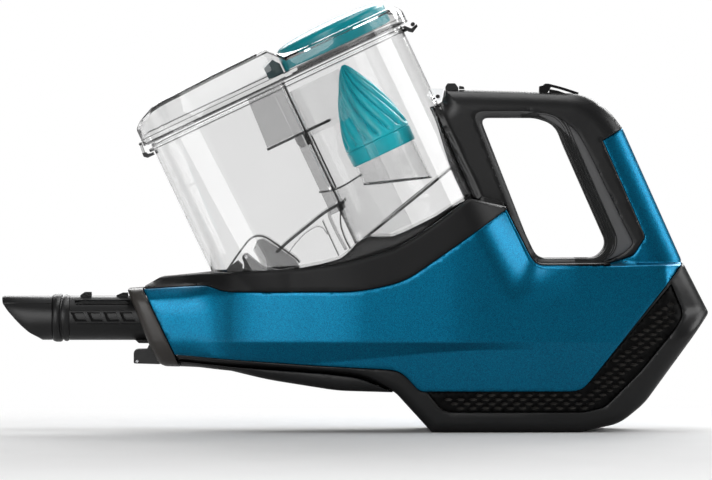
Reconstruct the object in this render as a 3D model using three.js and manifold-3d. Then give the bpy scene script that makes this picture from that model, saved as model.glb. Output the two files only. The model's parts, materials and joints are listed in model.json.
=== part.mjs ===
// Cordless handheld vacuum with a tilted dust bin, a loop handle and a pull-off crevice tool.
// Millimetres. +Z up, +X towards the rear, origin in the middle of the flat base face.

import * as THREE from 'three';
import { mergeVertices } from 'three/addons/utils/BufferGeometryUtils.js';
import Module from 'manifold-3d';

const wasm = await Module();
wasm.setup();

// ---------- driving dimensions ----------

const gap = 0.3; // clearance between pieces that touch
const wall = 2.8; // housing wall
const baseFront = -60; // front end of the flat base
const baseRear = 43.5; // rear end of the flat base

const waistHeight = 63; // height of the crease along the side shells
const waistStep = 5; // how far the lower side steps in below the crease
const sideTaper = 0.11; // lean of the lower sides, per mm of height
const handleHalf = 17; // half thickness of the handle
const postFlange = 7; // how much wider the post is where it hugs the bin
const shoulderSlope = 1.45; // how fast the sides swell below the handle
const shoulderHeight = 124; // where the swelling starts under the handle hole
const noseMiddle = 73.5; // middle height of the nose section
const noseHalfHeight = 31; // half height of the nose section

const binTilt = 25.3; // lean of the bin, degrees
const binCorner = new THREE.Vector3(-214.4, 0, 113); // front bottom edge of the bin
const binWall = 2.2;
const binHalf = 48.5; // half width of the bin
const binFrontRadius = 42; // plan corner radius at the front of the bin
const binTop = 96.6; // height of the bin wall along its own axis
const cycloneAt = 144.5; // cyclone axis, behind the bin's front wall
const binClear = 0.4; // play of the bin in its cradle
const seatDepth = 8; // how deep the bin sits in the cradle

const lidOverhang = 5.2;
const lidBase = 97.2;
const lidTop = 118.4;
const lidWall = 2.4;
const capRadius = 41;
const capLift = 1.2;

const toolHeight = 78.6; // height of the inlet axis
const toolRadius = 15.55;
const toolWall = 2.2;
const tubeFront = -313; // front end of the tool's straight tube
const tubeRear = -232;
const ringLength = 12;
const mouthLength = 35; // slanted mouth in front of the ring
const socketClear = 0.35;
const pipeWall = 2;
const pipeBend = 24; // bend radius of the inlet pipe
const inletAt = -184; // where the inlet pipe comes up into the bin

const coneRadius = 22.6;
const coneHeight = 68;
const coneBase = 21;
const finCount = 15;

const motorRadius = 33;
const motorFront = -30;
const motorLength = 52;
const motorHeight = 62;
const cellRadius = 9;
const cellLength = 65;

// ---------- materials ----------

function finish(color, roughness, metalness, opacity = 1) {
  return new THREE.MeshStandardMaterial({
    color, roughness, metalness, opacity, transparent: opacity < 1,
  });
}

const blue = finish(0x005f8f, 0.32, 0.6);
const black = finish(0x232323, 0.5, 0);
const darkBlack = finish(0x161616, 0.6, 0);
const warmGrey = finish(0x46423f, 0.45, 0);
const softBlack = finish(0x3a3a3a, 0.8, 0);
const rubber = finish(0x101010, 0.85, 0);
const clear = finish(0xe6eaec, 0.06, 0, 0.35);
const clearSeal = finish(0xd8dcde, 0.4, 0, 0.6);
const turquoise = finish(0x0096aa, 0.25, 0, 0.9);
const steel = finish(0x9a9a9a, 0.35, 0.9);
const board = finish(0x1d5a34, 0.6, 0);
const cellWrap = finish(0x2f6f9a, 0.5, 0);
const felt = finish(0xd8d6cf, 0.95, 0);

// ---------- solids ----------

function toSolid(geometry) {
  const bare = geometry.clone();
  bare.deleteAttribute('normal');
  bare.deleteAttribute('uv');
  const merged = mergeVertices(bare, 1e-4);
  return new wasm.Manifold(new wasm.Mesh({
    numProp: 3,
    vertProperties: new Float32Array(merged.attributes.position.array),
    triVerts: new Uint32Array(merged.index.array),
  }));
}

function toGeometry(solid) {
  const mesh = solid.getMesh();
  const geometry = new THREE.BufferGeometry();
  geometry.setAttribute('position', new THREE.BufferAttribute(mesh.vertProperties, 3));
  geometry.setIndex(new THREE.BufferAttribute(mesh.triVerts, 1));
  geometry.computeVertexNormals();
  return geometry;
}

function join(...solids) {
  return solids.reduce((sum, solid) => sum.add(solid));
}

function cut(solid, ...tools) {
  return tools.reduce((rest, tool) => rest.subtract(tool), solid);
}

// Closed outline through points [x, y] or [x, y, r], where r is the length trimmed off each
// side of that corner for its curve.
function outline(points) {
  const shape = new THREE.Shape();
  points.forEach(([x, y, radius = 0], i) => {
    const before = points[(i + points.length - 1) % points.length];
    const after = points[(i + 1) % points.length];
    const corner = new THREE.Vector2(x, y);
    const towards = ([px, py]) => {
      const step = new THREE.Vector2(px - x, py - y);
      return step.setLength(Math.min(radius, step.length() / 2)).add(corner);
    };
    const start = towards(before);
    const end = towards(after);
    if (i === 0) shape.moveTo(start.x, start.y);
    else shape.lineTo(start.x, start.y);
    if (radius > 0) shape.quadraticCurveTo(x, y, end.x, end.y);
  });
  shape.closePath();
  return shape;
}

// Side outline in X and Z, extruded across Y.
function sidePrism(points, yLow, yHigh, curveSegments = 4) {
  const shape = points instanceof THREE.Shape ? points : outline(points);
  const geometry = new THREE.ExtrudeGeometry(shape, {
    depth: yHigh - yLow, bevelEnabled: false, curveSegments,
  });
  geometry.rotateX(Math.PI / 2);
  geometry.translate(0, yHigh, 0);
  return toSolid(geometry);
}

// Plan outline in X and Y, extruded up Z.
function planPrism(shape, zLow, zHigh, curveSegments = 7) {
  const geometry = new THREE.ExtrudeGeometry(shape, {
    depth: zHigh - zLow, bevelEnabled: false, curveSegments,
  });
  geometry.translate(0, 0, zLow);
  return toSolid(geometry);
}

function box(xLow, xHigh, yLow, yHigh, zLow, zHigh) {
  const geometry = new THREE.BoxGeometry(xHigh - xLow, yHigh - yLow, zHigh - zLow);
  geometry.translate((xLow + xHigh) / 2, (yLow + yHigh) / 2, (zLow + zHigh) / 2);
  return toSolid(geometry);
}

// Profile of [radius, along] pairs turned about an axis through `at`.
function turned(profile, axis, at = [0, 0, 0], segments = 24) {
  const points = profile.map(([radius, along]) => new THREE.Vector2(radius, along));
  const geometry = new THREE.LatheGeometry(points, segments);
  if (axis === 'x') geometry.rotateZ(-Math.PI / 2);
  if (axis === 'z') geometry.rotateX(Math.PI / 2);
  geometry.translate(...at);
  const solid = toSolid(geometry);
  return solid.volume() < 0 ? toSolid(flip(geometry)) : solid;
}

function flip(geometry) {
  const turnedOver = geometry.index ? geometry.toNonIndexed() : geometry.clone();
  const position = turnedOver.attributes.position.array;
  for (let i = 0; i < position.length; i += 9) {
    for (let k = 0; k < 3; k += 1) {
      [position[i + k], position[i + 3 + k]] = [position[i + 3 + k], position[i + k]];
    }
  }
  return turnedOver;
}

function disc(radius, from, to, axis, at, segments = 24) {
  return turned([[0, from], [radius, from], [radius, to], [0, to]], axis, at, segments);
}

function ring(inner, outer, from, to, axis, at, segments = 24) {
  const profile = [[inner, from], [outer, from], [outer, to], [inner, to], [inner, from]];
  return turned(profile, axis, at, segments);
}

// ---------- scene graph ----------

const vacuum = new THREE.Group();
const bin = new THREE.Group();
bin.position.copy(binCorner);
bin.rotation.y = -THREE.MathUtils.degToRad(binTilt);
bin.updateMatrix();
vacuum.add(bin);

function place(name, solid, material, parent = vacuum) {
  const mesh = new THREE.Mesh(toGeometry(solid), material);
  mesh.name = name;
  parent.add(mesh);
}

// A solid drawn in the bin's own frame, moved to where the bin stands.
function fromBin(solid) {
  const geometry = toGeometry(solid);
  geometry.applyMatrix4(bin.matrix);
  return toSolid(geometry);
}

// Position of a point of the side view along and up the bin's own axes.
function inBin(x, z) {
  const point = new THREE.Vector3(x, 0, z).applyMatrix4(bin.matrix.clone().invert());
  return [point.x, point.z];
}

// ---------- body skin ----------

function interpolate(stations, x) {
  const next = stations.findIndex(([at]) => at >= x);
  if (next === 0) return stations[0][1];
  if (next < 0) return stations[stations.length - 1][1];
  const [x0, y0] = stations[next - 1];
  const [x1, y1] = stations[next];
  return y0 + (y1 - y0) * (x - x0) / (x1 - x0);
}

const clamp01 = (t) => THREE.MathUtils.clamp(t, 0, 1);

// Half width of the body seen from above, as [x, half width].
const planWidths = [
  [-280, 26.5], [-221, 29], [-213, 33], [-203, 44], [-190, 50.5], [-150, 54], [-105, 56],
  [-50, 56], [0, 52], [50, 47], [90, 43], [140, 38],
];
// Height of the band that slopes in below the waist crease, as [x, height].
const waistBand = [[-195, 17], [-12, 5]];

// Half width of the body at a point of the side view.
function halfWidth(x, z) {
  let half = interpolate(planWidths, x);
  const below = Math.max(0, waistHeight - z);
  const wide = clamp01((x + 213) / 18);
  half -= waistStep * wide * clamp01(below / interpolate(waistBand, x));
  half -= sideTaper * below;
  const nose = 1 - clamp01((x + 235) / 30);
  const rise = Math.min(0.985, Math.abs(z - noseMiddle) / noseHalfHeight);
  half *= 1 - nose * (1 - (1 - rise ** 3.5) ** (1 / 3.5));
  const shoulder = shoulderHeight + 1.1 * Math.max(0, -x) - z;
  const [alongBin] = inBin(x, z);
  const flange = postFlange * clamp01((202 - alongBin) / 14);
  const handle = handleHalf + flange + shoulderSlope * Math.max(0, shoulder);
  return Math.min(half, handle);
}

// Grid lines through the given stations, no further apart than `step`.
function gridLines(stations, step) {
  const lines = [];
  stations.slice(1).forEach((end, i) => {
    const start = stations[i];
    const count = Math.ceil((end - start) / step);
    for (let k = 0; k < count; k += 1) lines.push(start + (end - start) * k / count);
  });
  lines.push(stations[stations.length - 1]);
  return lines;
}

const creasesAlong = [-276, -262, -235, -221, -213, -203, -190, -150, -105, -50, 0, 50, 90, 140];
const creasesUp = [-4, 28, 46, 58, waistHeight, 102, shoulderHeight, 160, 250];

const skinStepAlong = 40;
const skinStepUp = 30;

// The whole body inside the side skins, both sides, moved in by `inset`.
function bodyBlock(inset) {
  const xs = gridLines(creasesAlong, skinStepAlong);
  const zs = gridLines(creasesUp, skinStepUp);
  const vertices = [];
  const triangles = [];
  const index = (side, i, k) => side * xs.length * zs.length + i * zs.length + k;
  [-1, 1].forEach((side) => {
    xs.forEach((x) => zs.forEach((z) => {
      vertices.push(x, side * Math.max(4, halfWidth(x, z) - inset), z);
    }));
  });
  const quad = (a, b, c, d) => triangles.push(a, b, c, a, c, d);
  for (let i = 0; i < xs.length - 1; i += 1) {
    for (let k = 0; k < zs.length - 1; k += 1) {
      quad(index(0, i, k), index(0, i + 1, k), index(0, i + 1, k + 1), index(0, i, k + 1));
      quad(index(1, i, k), index(1, i, k + 1), index(1, i + 1, k + 1), index(1, i + 1, k));
    }
  }
  for (let i = 0; i < xs.length - 1; i += 1) {
    const top = zs.length - 1;
    quad(index(0, i, top), index(0, i + 1, top), index(1, i + 1, top), index(1, i, top));
    quad(index(0, i, 0), index(1, i, 0), index(1, i + 1, 0), index(0, i + 1, 0));
  }
  for (let k = 0; k < zs.length - 1; k += 1) {
    const last = xs.length - 1;
    quad(index(0, 0, k), index(0, 0, k + 1), index(1, 0, k + 1), index(1, 0, k));
    quad(index(0, last, k), index(1, last, k), index(1, last, k + 1), index(0, last, k + 1));
  }
  const geometry = new THREE.BufferGeometry();
  geometry.setAttribute('position', new THREE.Float32BufferAttribute(vertices, 3));
  geometry.setIndex(triangles);
  return toSolid(geometry);
}

const skin = bodyBlock(0);
const inside = bodyBlock(wall);
const reach = 70; // beyond the widest point of the body

// ---------- side outlines shared by the housing pieces ----------

const collarSeam = [[-261.2, 99.2], [-239.2, 53.6]];
const deckSeam = [
  [-261, 99.6], [-216, 102, 4], [-207, 98.6, 6], [-199, 97.8], [-109.6, 98.4, 14], [-79, 105.5, 12],
  [-55, 121.9], [-9.5, 152.4],
];
const rimSeam = [[9, 121, 6], [14, 116.2, 5], [62, 116.6, 6], [80.5, 122.5, 4], [88.8, 135.6, 2]];
const spineTop = [[59, 202.7], [73.1, 211.5]];
const blueFoot = [
  [115.2, 118], [50.4, 36.3, 10], [43, 28.7, 8], [-68.6, 28.7, 4], [-80, 41.5, 8], [-88, 44, 8],
  [-135.3, 46.4], [-199.6, 50.5], [-230, 53],
];

const cavityOutline = [
  [-257, 100.5], [-216, 103], [-204, 99.5], [-110, 99.5, 12], [-79, 107, 10], [-55, 123.5],
  [-22, 146.5], [0, 117], [14, 111], [109, 111, 4], [127, 82, 4], [84, 23, 8], [72, 12, 8], [44, 3.2, 6],
  [-58.5, 3.2, 2], [-84, 31.5, 3], [-126, 32.3], [-200, 45.6], [-236, 49.5],
];
const cavity = inside.intersect(sidePrism(cavityOutline, -reach, reach));

// The bin's own outer shape, in its own frame, grown by `offset`.
function binPlan(offset) {
  const half = binHalf + offset;
  const corner = binFrontRadius + offset;
  const middle = half - corner;
  const shape = new THREE.Shape();
  shape.moveTo(binFrontRadius, -half);
  shape.lineTo(cycloneAt, -half);
  shape.absarc(cycloneAt, 0, half, -Math.PI / 2, Math.PI / 2);
  shape.lineTo(binFrontRadius, half);
  shape.absarc(binFrontRadius, middle, corner, Math.PI / 2, Math.PI);
  shape.absarc(binFrontRadius, -middle, corner, Math.PI, 1.5 * Math.PI);
  return shape;
}

// Bottom line of the bin along its own frame, as [along, height].
const binFloor = [[-20, 0], [0, -seatDepth], [28, -21.4], [58, -33.4], [86, -42.4], [108, -46], [260, -46]];

function binBody(offset, lift = 0, top = binTop) {
  const floor = binFloor.map(([along, height]) => [along, height + lift - offset]);
  const side = sidePrism([...floor, [260, 130], [-20, 130]], -reach, reach);
  return planPrism(binPlan(offset), -80, top).intersect(side);
}

const binSpace = fromBin(binBody(binClear, 0, 160));

function halves(solid, leftName, rightName, material) {
  const { min, max } = solid.boundingBox();
  place(leftName, solid.intersect(box(min[0], max[0], min[1], -gap / 2, min[2], max[2])), material);
  place(rightName, solid.intersect(box(min[0], max[0], gap / 2, max[1], min[2], max[2])), material);
}

function shift(points, dx, dz) {
  return points.map(([x, z, radius = 0]) => [x + dx, z + dz, radius]);
}

// ---------- air path through the nose ----------

// Round bar along the inlet route: straight through the nose, then up into the bin.
function inletRoute(radius, front) {
  const route = new THREE.CurvePath();
  const bendStart = inletAt - pipeBend;
  const bendTop = toolHeight + pipeBend;
  const start = new THREE.Vector3(front, 0, toolHeight);
  const bendFrom = new THREE.Vector3(bendStart, 0, toolHeight);
  const bendCorner = new THREE.Vector3(inletAt, 0, toolHeight);
  const bendTo = new THREE.Vector3(inletAt, 0, bendTop);
  const end = new THREE.Vector3(inletAt, 0, bendTop + 2);
  route.add(new THREE.LineCurve3(start, bendFrom));
  route.add(new THREE.QuadraticBezierCurve3(bendFrom, bendCorner, bendTo));
  route.add(new THREE.LineCurve3(bendTo, end));
  const section = new THREE.Shape();
  section.absarc(0, 0, radius, 0, 2 * Math.PI);
  const geometry = new THREE.ExtrudeGeometry(section, {
    steps: 9, curveSegments: 8, bevelEnabled: false, extrudePath: route,
  });
  const solid = toSolid(geometry);
  return solid.volume() < 0 ? toSolid(flip(geometry)) : solid;
}

const boreRadius = toolRadius + socketClear;
const pipeFront = -254;
const pipeBore = inletRoute(boreRadius, tubeFront);
place('inlet_pipe', cut(inletRoute(boreRadius + pipeWall, pipeFront), pipeBore), black);
const pipeSpace = inletRoute(boreRadius + pipeWall + gap, pipeFront - 30);

// ---------- housing ----------

function bodyPiece(points) {
  return skin.intersect(sidePrism(points, -reach, reach));
}

const blueOutline = [
  ...shift([...collarSeam].reverse(), gap, 0),
  ...shift(deckSeam.slice(1), 0, -gap),
  ...shift(rimSeam.slice(0, 4), 0, -gap),
  [88.8 + gap, 135.6 - gap, 2],
  [spineTop[0][0] + gap, spineTop[0][1]],
  [spineTop[1][0] + gap, spineTop[1][1] - gap],
  ...blueFoot,
];
halves(cut(bodyPiece(blueOutline), cavity, pipeSpace), 'body_shell_left', 'body_shell_right', blue);

const collarOutline = [
  [-272.4, 99.2, 2], [-261.5, 100], ...shift(collarSeam, -gap, 0), [-235.8, 44.9],
  [-245.7, 45.1, 2], [-249.9, 47.2, 2],
  [-256.3, 59, 3],
];
const collarBore = disc(boreRadius, tubeFront, tubeRear, 'x', [0, 0, toolHeight]);
const releaseRear = -255.2;
const releaseHalf = 5;
const releaseLow = 57.7;
const releaseHigh = 63.1;
const releaseSlot = box(
  tubeFront, releaseRear + gap, -releaseHalf - gap, releaseHalf + gap,
  releaseLow - gap, releaseHigh + gap,
);
const collarPocket = disc(boreRadius + pipeWall + gap, pipeFront - gap, tubeRear, 'x', [0, 0, toolHeight]);
place('inlet_collar', cut(bodyPiece(collarOutline), collarBore, collarPocket, releaseSlot), warmGrey);

const deckOutline = [
  ...deckSeam, [-8.6, 157.2 - gap], [-34, 163.2 - gap, 3], [-71, 136.5, 8], [-87.2, 127.6],
  [-103.2, 122.4, 8], [-122.5, 118], [-151.4, 114.2], [-183.5, 112.4], [-215.7, 110.6, 3],
  [-248.6, 107.7, 3], [-260.5, 100.6],
];
const filterLedge = -53;
const filterRadius = 31.4;
const filterSeat = fromBin(disc(filterRadius + gap, filterLedge, 0, 'z', [cycloneAt, 0, 0]));
const suctionPort = fromBin(disc(filterRadius - 5, -80, 0, 'z', [cycloneAt, 0, 0]));
// Hollow between the deck's outer wall and the wall that hugs the bin, open below.
const deckHollowOutline = [
  [-196, 90], [-196, 104], [-150, 108], [-103, 117, 8], [-71, 131, 8], [-36, 158], [-16, 146],
  [-50, 110],
];
const binCup = fromBin(binBody(binClear + wall));
const filterCup = fromBin(disc(filterRadius + gap + wall, -80, 0, 'z', [cycloneAt, 0, 0]));
const deckHollow = cut(
  inside.intersect(sidePrism(deckHollowOutline, -reach, reach)), binCup, filterCup,
);
const deck = cut(
  bodyPiece(deckOutline), deckHollow, binSpace, pipeSpace, filterSeat, suctionPort,
);
place('cradle_deck', deck, black);

const grilleEdge = [
  [-63.8, 28.4], [-54, 15.8, 5], [-47, 14], [46, 13.9, 4], [60.2, 17.4, 4], [85.3, 42.5, 8],
  [110.3, 73.2, 5], [115.4, 82.5, 5], [106.4, 103.5],
];
const grilleHole = [...grilleEdge, ...shift(blueFoot.slice(0, 4), 0, 1)];
const frameOutline = [
  [115.2, 118 - 2 * gap], ...shift(blueFoot.slice(1, 3), gap, -gap),
  ...shift(blueFoot.slice(3), 0, -gap),
  [-238.6, 53.2], [-237.2, 49.2], [-200, 45.6], [-135, 41.2], [-110, 38.7, 8], [-85.5, 28, 3], [baseFront, 0],
  [baseRear, 0, 2], [71.3, 6.2, 8], [88.1, 20.2, 6], [133.3, 82.6, 2],
];
const sideOpening = sidePrism(grilleHole, -reach, reach);
place('lower_frame', cut(bodyPiece(frameOutline), cavity, sideOpening), black);

const bellyOutline = [
  [-237, 48.8], [-200, 45.3], [-135, 40.9], [-110.6, 38.2, 8], [-87.2, 28], [-125.7, 29.1, 8],
  [-173.9, 36.5, 10], [-199.6, 42.4], [-222, 44.6], [-235.4, 45],
];
place('belly_cover', cut(bodyPiece(bellyOutline), cavity), darkBlack);

// Side grilles: thin curved plates with staggered diamond holes.
const grilleSink = 1.4;
const grilleThickness = 1.8;
const holePitch = 13;
const rowPitch = 5.4;
const holeHalf = [4.4, 1.5]; // half width and half height of a diamond
const holeRib = 2.2; // solid left between a diamond and the plate's edge
const plateEdge = [
  [-60.8, 28.1], [-52.6, 16.6, 4], [-46, 14.4], [45.9, 14.3, 4], [59.9, 17.9, 4], [84.8, 42.8, 8],
  [109.8, 73.6, 5], [114.8, 82.6, 5], [106.2, 102.9], [50.9, 36, 8], [43.2, 28.1, 6],
];

function isInside(points, x, z) {
  let odd = false;
  points.forEach(([x0, z0], i) => {
    const [x1, z1] = points[(i + 1) % points.length];
    if ((z0 > z) !== (z1 > z) && x < x0 + (z - z0) * (x1 - x0) / (z1 - z0)) odd = !odd;
  });
  return odd;
}

function diamond(x, z, halfWide, halfHigh) {
  return [[x - halfWide, z], [x, z - halfHigh], [x + halfWide, z], [x, z + halfHigh]];
}

function grillePlate(side) {
  const sheet = bodyBlock(grilleSink).subtract(bodyBlock(grilleSink + grilleThickness));
  const yLow = side < 0 ? -reach : 0;
  const plate = sheet.intersect(sidePrism(plateEdge, yLow, yLow + reach));
  const xs = plateEdge.map(([x]) => x);
  const zs = plateEdge.map(([, z]) => z);
  const [left, right] = [Math.min(...xs), Math.max(...xs)];
  const [low, high] = [Math.min(...zs), Math.max(...zs)];
  const rows = Math.floor((high - low) / rowPitch);
  const columns = Math.floor((right - left) / holePitch);
  const holes = [];
  for (let row = 0; row < rows; row += 1) {
    const z = low + (row + 0.8) * rowPitch;
    for (let column = 0; column <= columns; column += 1) {
      const x = left + (column + 0.5 * (row % 2)) * holePitch;
      const clearance = diamond(x, z, holeHalf[0] + holeRib, holeHalf[1] + holeRib);
      if (!clearance.every(([px, pz]) => isInside(plateEdge, px, pz))) continue;
      holes.push(sidePrism(diamond(x, z, ...holeHalf), yLow, yLow + reach));
    }
  }
  return cut(plate, ...holes);
}
place('grille_left', grillePlate(-1), darkBlack);
place('grille_right', grillePlate(1), darkBlack);

// ---------- handle ----------

const handleOuter = [
  [-34.2, 163.2], [-8.6, 157.2], ...rimSeam, ...spineTop, [64.2, 223.4, 7],
  [52.3, 232, 6], [41.9, 235.3, 5], [2.1, 237], [-50.8, 238.3, 1.5], [-52.6, 229.6],
  [-60.3, 224.9, 3],
];
const fingerHole = [
  [12.3, 121.5, 6], [60.8, 121.5, 7], [63, 131, 3], [31.6, 199.7, 6], [24, 216, 12], [13, 218.3, 6],
  [-26, 218.3, 6],
];
const gripSeam = [
  [60, 126], [73.5, 127.2, 3], [80.6, 129.8, 2.5], [37.5, 210.1, 8], [20, 221.8, 9], [4, 223.2, 4],
  [4, 216], [18, 208], [27, 198],
];
const gripCut = sidePrism(gripSeam, -reach, reach);
const postSealThickness = 2;

// Strip along the post where the bin leans against it, grown by `extra` all round.
function postStrip(thickness, extra) {
  const strip = binBody(binClear + thickness + extra).subtract(binBody(binClear - extra));
  const area = box(183 - extra, 260, -18 - extra, 18 + extra, -27 - extra, 34 + extra);
  return fromBin(strip.intersect(area));
}

const sliderRecess = box(3.4, 44, -9, 9, 233.2, 250);
const buttonSlot = box(-50.2 - gap, -41.3 + gap, -8 - gap, 8 + gap, 231, 250);
const holeCut = sidePrism(fingerHole, -reach, reach, 5);
const handle = cut(
  bodyPiece(handleOuter), holeCut, gripCut, binSpace, sliderRecess, buttonSlot,
  postStrip(postSealThickness, gap),
);
halves(handle, 'handle_left', 'handle_right', black);
const gripInset = [
  [60, 126 + gap], [73.5, 127.2 + gap, 3], [80.6 - gap, 129.8 + gap, 2.5], [37.5 - gap, 210.1 - gap, 8],
  [20, 221.8 - gap, 9], [4 + gap, 223.2 - gap, 4], [4 + gap, 216], [18, 208], [27, 198],
];
const gripPiece = bodyPiece(gripInset).subtract(holeCut);
place('grip_insert', gripPiece, softBlack);
place('post_seal', postStrip(postSealThickness, 0), rubber);

const buttonOutline = [
  [-50.2, 234], [-41.3, 234], [-41.3, 239.6], [-43.4, 242.6, 0.8], [-48.8, 242.6, 0.8],
  [-50.2, 240, 0.6],
];
place('release_button', sidePrism(buttonOutline, -8, 8), black);
const stepOutline = [[-40.6, 238.5], [-36.9, 238.4], [-37.4, 240.3, 0.6], [-40.6, 240.8, 0.6]];
place('release_step', sidePrism(stepOutline, -7, 7), black);
const sliderOutline = [
  [15.4, 233.2 + gap], [42, 233.2 + gap], [42, 235.6, 0.8], [24, 241.8, 2], [20, 242, 1.5],
  [15.6, 238.2, 1],
];
place('power_slider', sidePrism(sliderOutline, -6.5, 6.5), black);

// ---------- dust bin ----------

function toBin(solid) {
  const geometry = toGeometry(solid);
  geometry.applyMatrix4(bin.matrix.clone().invert());
  return toSolid(geometry);
}

const binInside = binBody(-binWall, 0, 200);
const inletHole = toBin(disc(boreRadius - 2, 60, 140, 'z', [inletAt, 0, 0]));
const outletHole = disc(20, -80, -20, 'z', [cycloneAt, 0, 0]);
const flangeWidth = 3.2;
const flangeFrom = 91.4;
const flangeTo = 94;
function flange(extra) {
  return planPrism(binPlan(flangeWidth + extra), flangeFrom - extra, flangeTo + extra);
}
place('bin_shell', cut(join(binBody(0), flange(0)), binInside, inletHole, outletHole), clear, bin);

const roomInside = binBody(-binWall - gap, 0, 200);
const hoodWall = 1.6;
const hoodHalf = 20.5;
const flapPivot = [26.4, -2.9];
const hoodOutline = [[5, -40], [5, -9, 4], [40, 11, 15], [58, -20, 4], [60, -44]];
const hoodInner = [[7, -44], [7, -10, 4], [39.8, 8.6, 14], [62, -18], [62, -48]];
const hood = cut(
  sidePrism(hoodOutline, -hoodHalf, hoodHalf).intersect(roomInside),
  sidePrism(hoodInner, hoodWall - hoodHalf, hoodHalf - hoodWall),
  disc(1.5, -30, 30, 'y', [flapPivot[0], 0, flapPivot[1]], 16),
);
place('inlet_hood', hood, clear, bin);
place('flap_pin', disc(1.2, -hoodHalf, hoodHalf, 'y', [flapPivot[0], 0, flapPivot[1]], 16), steel, bin);
const flapEnd = [44.4, -24.4];
const flapOutline = [
  [flapPivot[0] - 3, flapPivot[1] - 1, 1.5], [flapPivot[0], flapPivot[1] + 3, 2],
  [flapPivot[0] + 3.2, flapPivot[1] + 1, 1.5], [flapEnd[0] + 1.2, flapEnd[1] + 1],
  [flapEnd[0] - 0.6, flapEnd[1] - 0.6],
];
const flapHalf = hoodHalf - hoodWall - 1;
const flapBore = disc(1.2 + gap, -30, 30, 'y', [flapPivot[0], 0, flapPivot[1]], 16);
place('inlet_flap', cut(sidePrism(flapOutline, -flapHalf, flapHalf), flapBore), rubber, bin);

const roomHalf = binHalf - binWall - gap;
const rampOutline = [
  [52, -9], [60, -4.6, 5], [72, -1.6, 6], [97, 2.6], [97, 0.8], [72, -3.4, 6], [60, -6.4, 5],
  [53, -10.4],
];
place('inlet_ramp', sidePrism(rampOutline, -roomHalf, roomHalf), clear, bin);
const shelfHeight = 57.5;
const wallOuter = binHalf - binWall - 0.4;
const wallInner = wallOuter - 1.9;
const shelf = cut(
  box(72, 120, -roomHalf, roomHalf, shelfHeight, shelfHeight + 1.8),
  disc(wallOuter + gap, 40, 80, 'z', [cycloneAt, 0, 0], 40),
);
place('duct_shelf', shelf, clear, bin);
const cycloneWall = cut(
  ring(wallInner, wallOuter, -60, 88, 'z', [cycloneAt, 0, 0], 40).intersect(roomInside),
  box(cycloneAt - 4, 260, -60, 60, -80, 120),
  box(60, cycloneAt - 10, -60, -18, 14, 54),
);
place('cyclone_wall', cycloneWall, clear, bin);

const tubeWall = 1.8;
const tubeFoot = -46 + binWall + gap;
place(
  'vortex_tube',
  ring(coneRadius - tubeWall, coneRadius, tubeFoot, coneBase - gap, 'z', [cycloneAt, 0, 0], 40),
  clear, bin,
);
const cycloneFloor = cut(
  sidePrism([[96, -30], [192, -6.2], [192, -4.4], [96, -28.2]], -60, 60)
    .intersect(disc(wallInner - gap, -60, 60, 'z', [cycloneAt, 0, 0], 40)),
  disc(coneRadius + gap, -60, 60, 'z', [cycloneAt, 0, 0], 40),
);
place('cyclone_floor', cycloneFloor, clear, bin);
const sealFoot = tubeFoot;
const sealProfile = [
  [coneRadius + gap, sealFoot], [34, sealFoot], [34, sealFoot + 3], [32, sealFoot + 3.8],
  [34, sealFoot + 4.6], [34, sealFoot + 6.4], [31, sealFoot + 7.4], [28, sealFoot + 9],
  [coneRadius + gap, sealFoot + 9], [coneRadius + gap, sealFoot],
];
place('outlet_seal', turned(sealProfile, 'z', [cycloneAt, 0, 0], 24), rubber, bin);

// Pointed cone with twisted fins, standing on a plain ring.
function finnedCone() {
  const ringHeight = 10.8;
  const columns = finCount * 4;
  const rows = 7;
  const finDepth = 0.16;
  const twist = -1.1;
  const levels = [[coneBase, coneRadius, 0], [coneBase + ringHeight, coneRadius, 0]];
  for (let i = 0; i <= rows; i += 1) {
    const t = i / rows;
    const radius = 1.8 + (coneRadius - 2.4) * (1 - t ** 1.75) ** 0.9;
    levels.push([coneBase + ringHeight + 0.6 + t * (coneHeight - ringHeight - 0.6), radius, t]);
  }
  const vertices = [];
  const triangles = [];
  levels.forEach(([height, radius, t], level) => {
    for (let c = 0; c < columns; c += 1) {
      const angle = 2 * Math.PI * c / columns;
      const ridge = clamp01(0.5 + 1.4 * Math.cos(finCount * angle));
      const grooved = level < 2 ? 1 : 1 - finDepth * (1 - ridge);
      const turn = angle + twist * t;
      const r = radius * grooved;
      vertices.push(cycloneAt + r * Math.cos(turn), r * Math.sin(turn), height);
    }
  });
  const bottom = vertices.length / 3;
  vertices.push(cycloneAt, 0, levels[0][0]);
  vertices.push(cycloneAt, 0, levels[levels.length - 1][0]);
  for (let c = 0; c < columns; c += 1) {
    const d = (c + 1) % columns;
    for (let level = 0; level < levels.length - 1; level += 1) {
      const low = level * columns;
      const high = low + columns;
      triangles.push(low + c, low + d, high + d, low + c, high + d, high + c);
    }
    const top = (levels.length - 1) * columns;
    triangles.push(bottom, d, c, bottom + 1, top + c, top + d);
  }
  const geometry = new THREE.BufferGeometry();
  geometry.setAttribute('position', new THREE.Float32BufferAttribute(vertices, 3));
  geometry.setIndex(triangles);
  return toSolid(geometry);
}
place('vortex_cone', finnedCone(), turquoise, bin);

const clipOutline = [[-68, 230.6], [-53.4, 230.6], [-51.8, 238.8], [-68, 238.8]];
const clipPinAt = [-55.6, 233.4];
const clipBore = disc(1.4 + gap, -12, 12, 'y', [clipPinAt[0], 0, clipPinAt[1]], 12);
const clip = toBin(cut(sidePrism(clipOutline, -9, 9), clipBore)).subtract(binBody(gap));
place('bin_clip', clip, clear, bin);
place('clip_pin', toBin(disc(1.4, -9.6, 9.6, 'y', [clipPinAt[0], 0, clipPinAt[1]], 12)), black, bin);

// ---------- lid ----------

const capAt = cycloneAt + 2.5;
const lidStep = 102; // where the raised front of the lid ends
const rimDrop = 7; // how much lower the rim around the cap is

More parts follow.
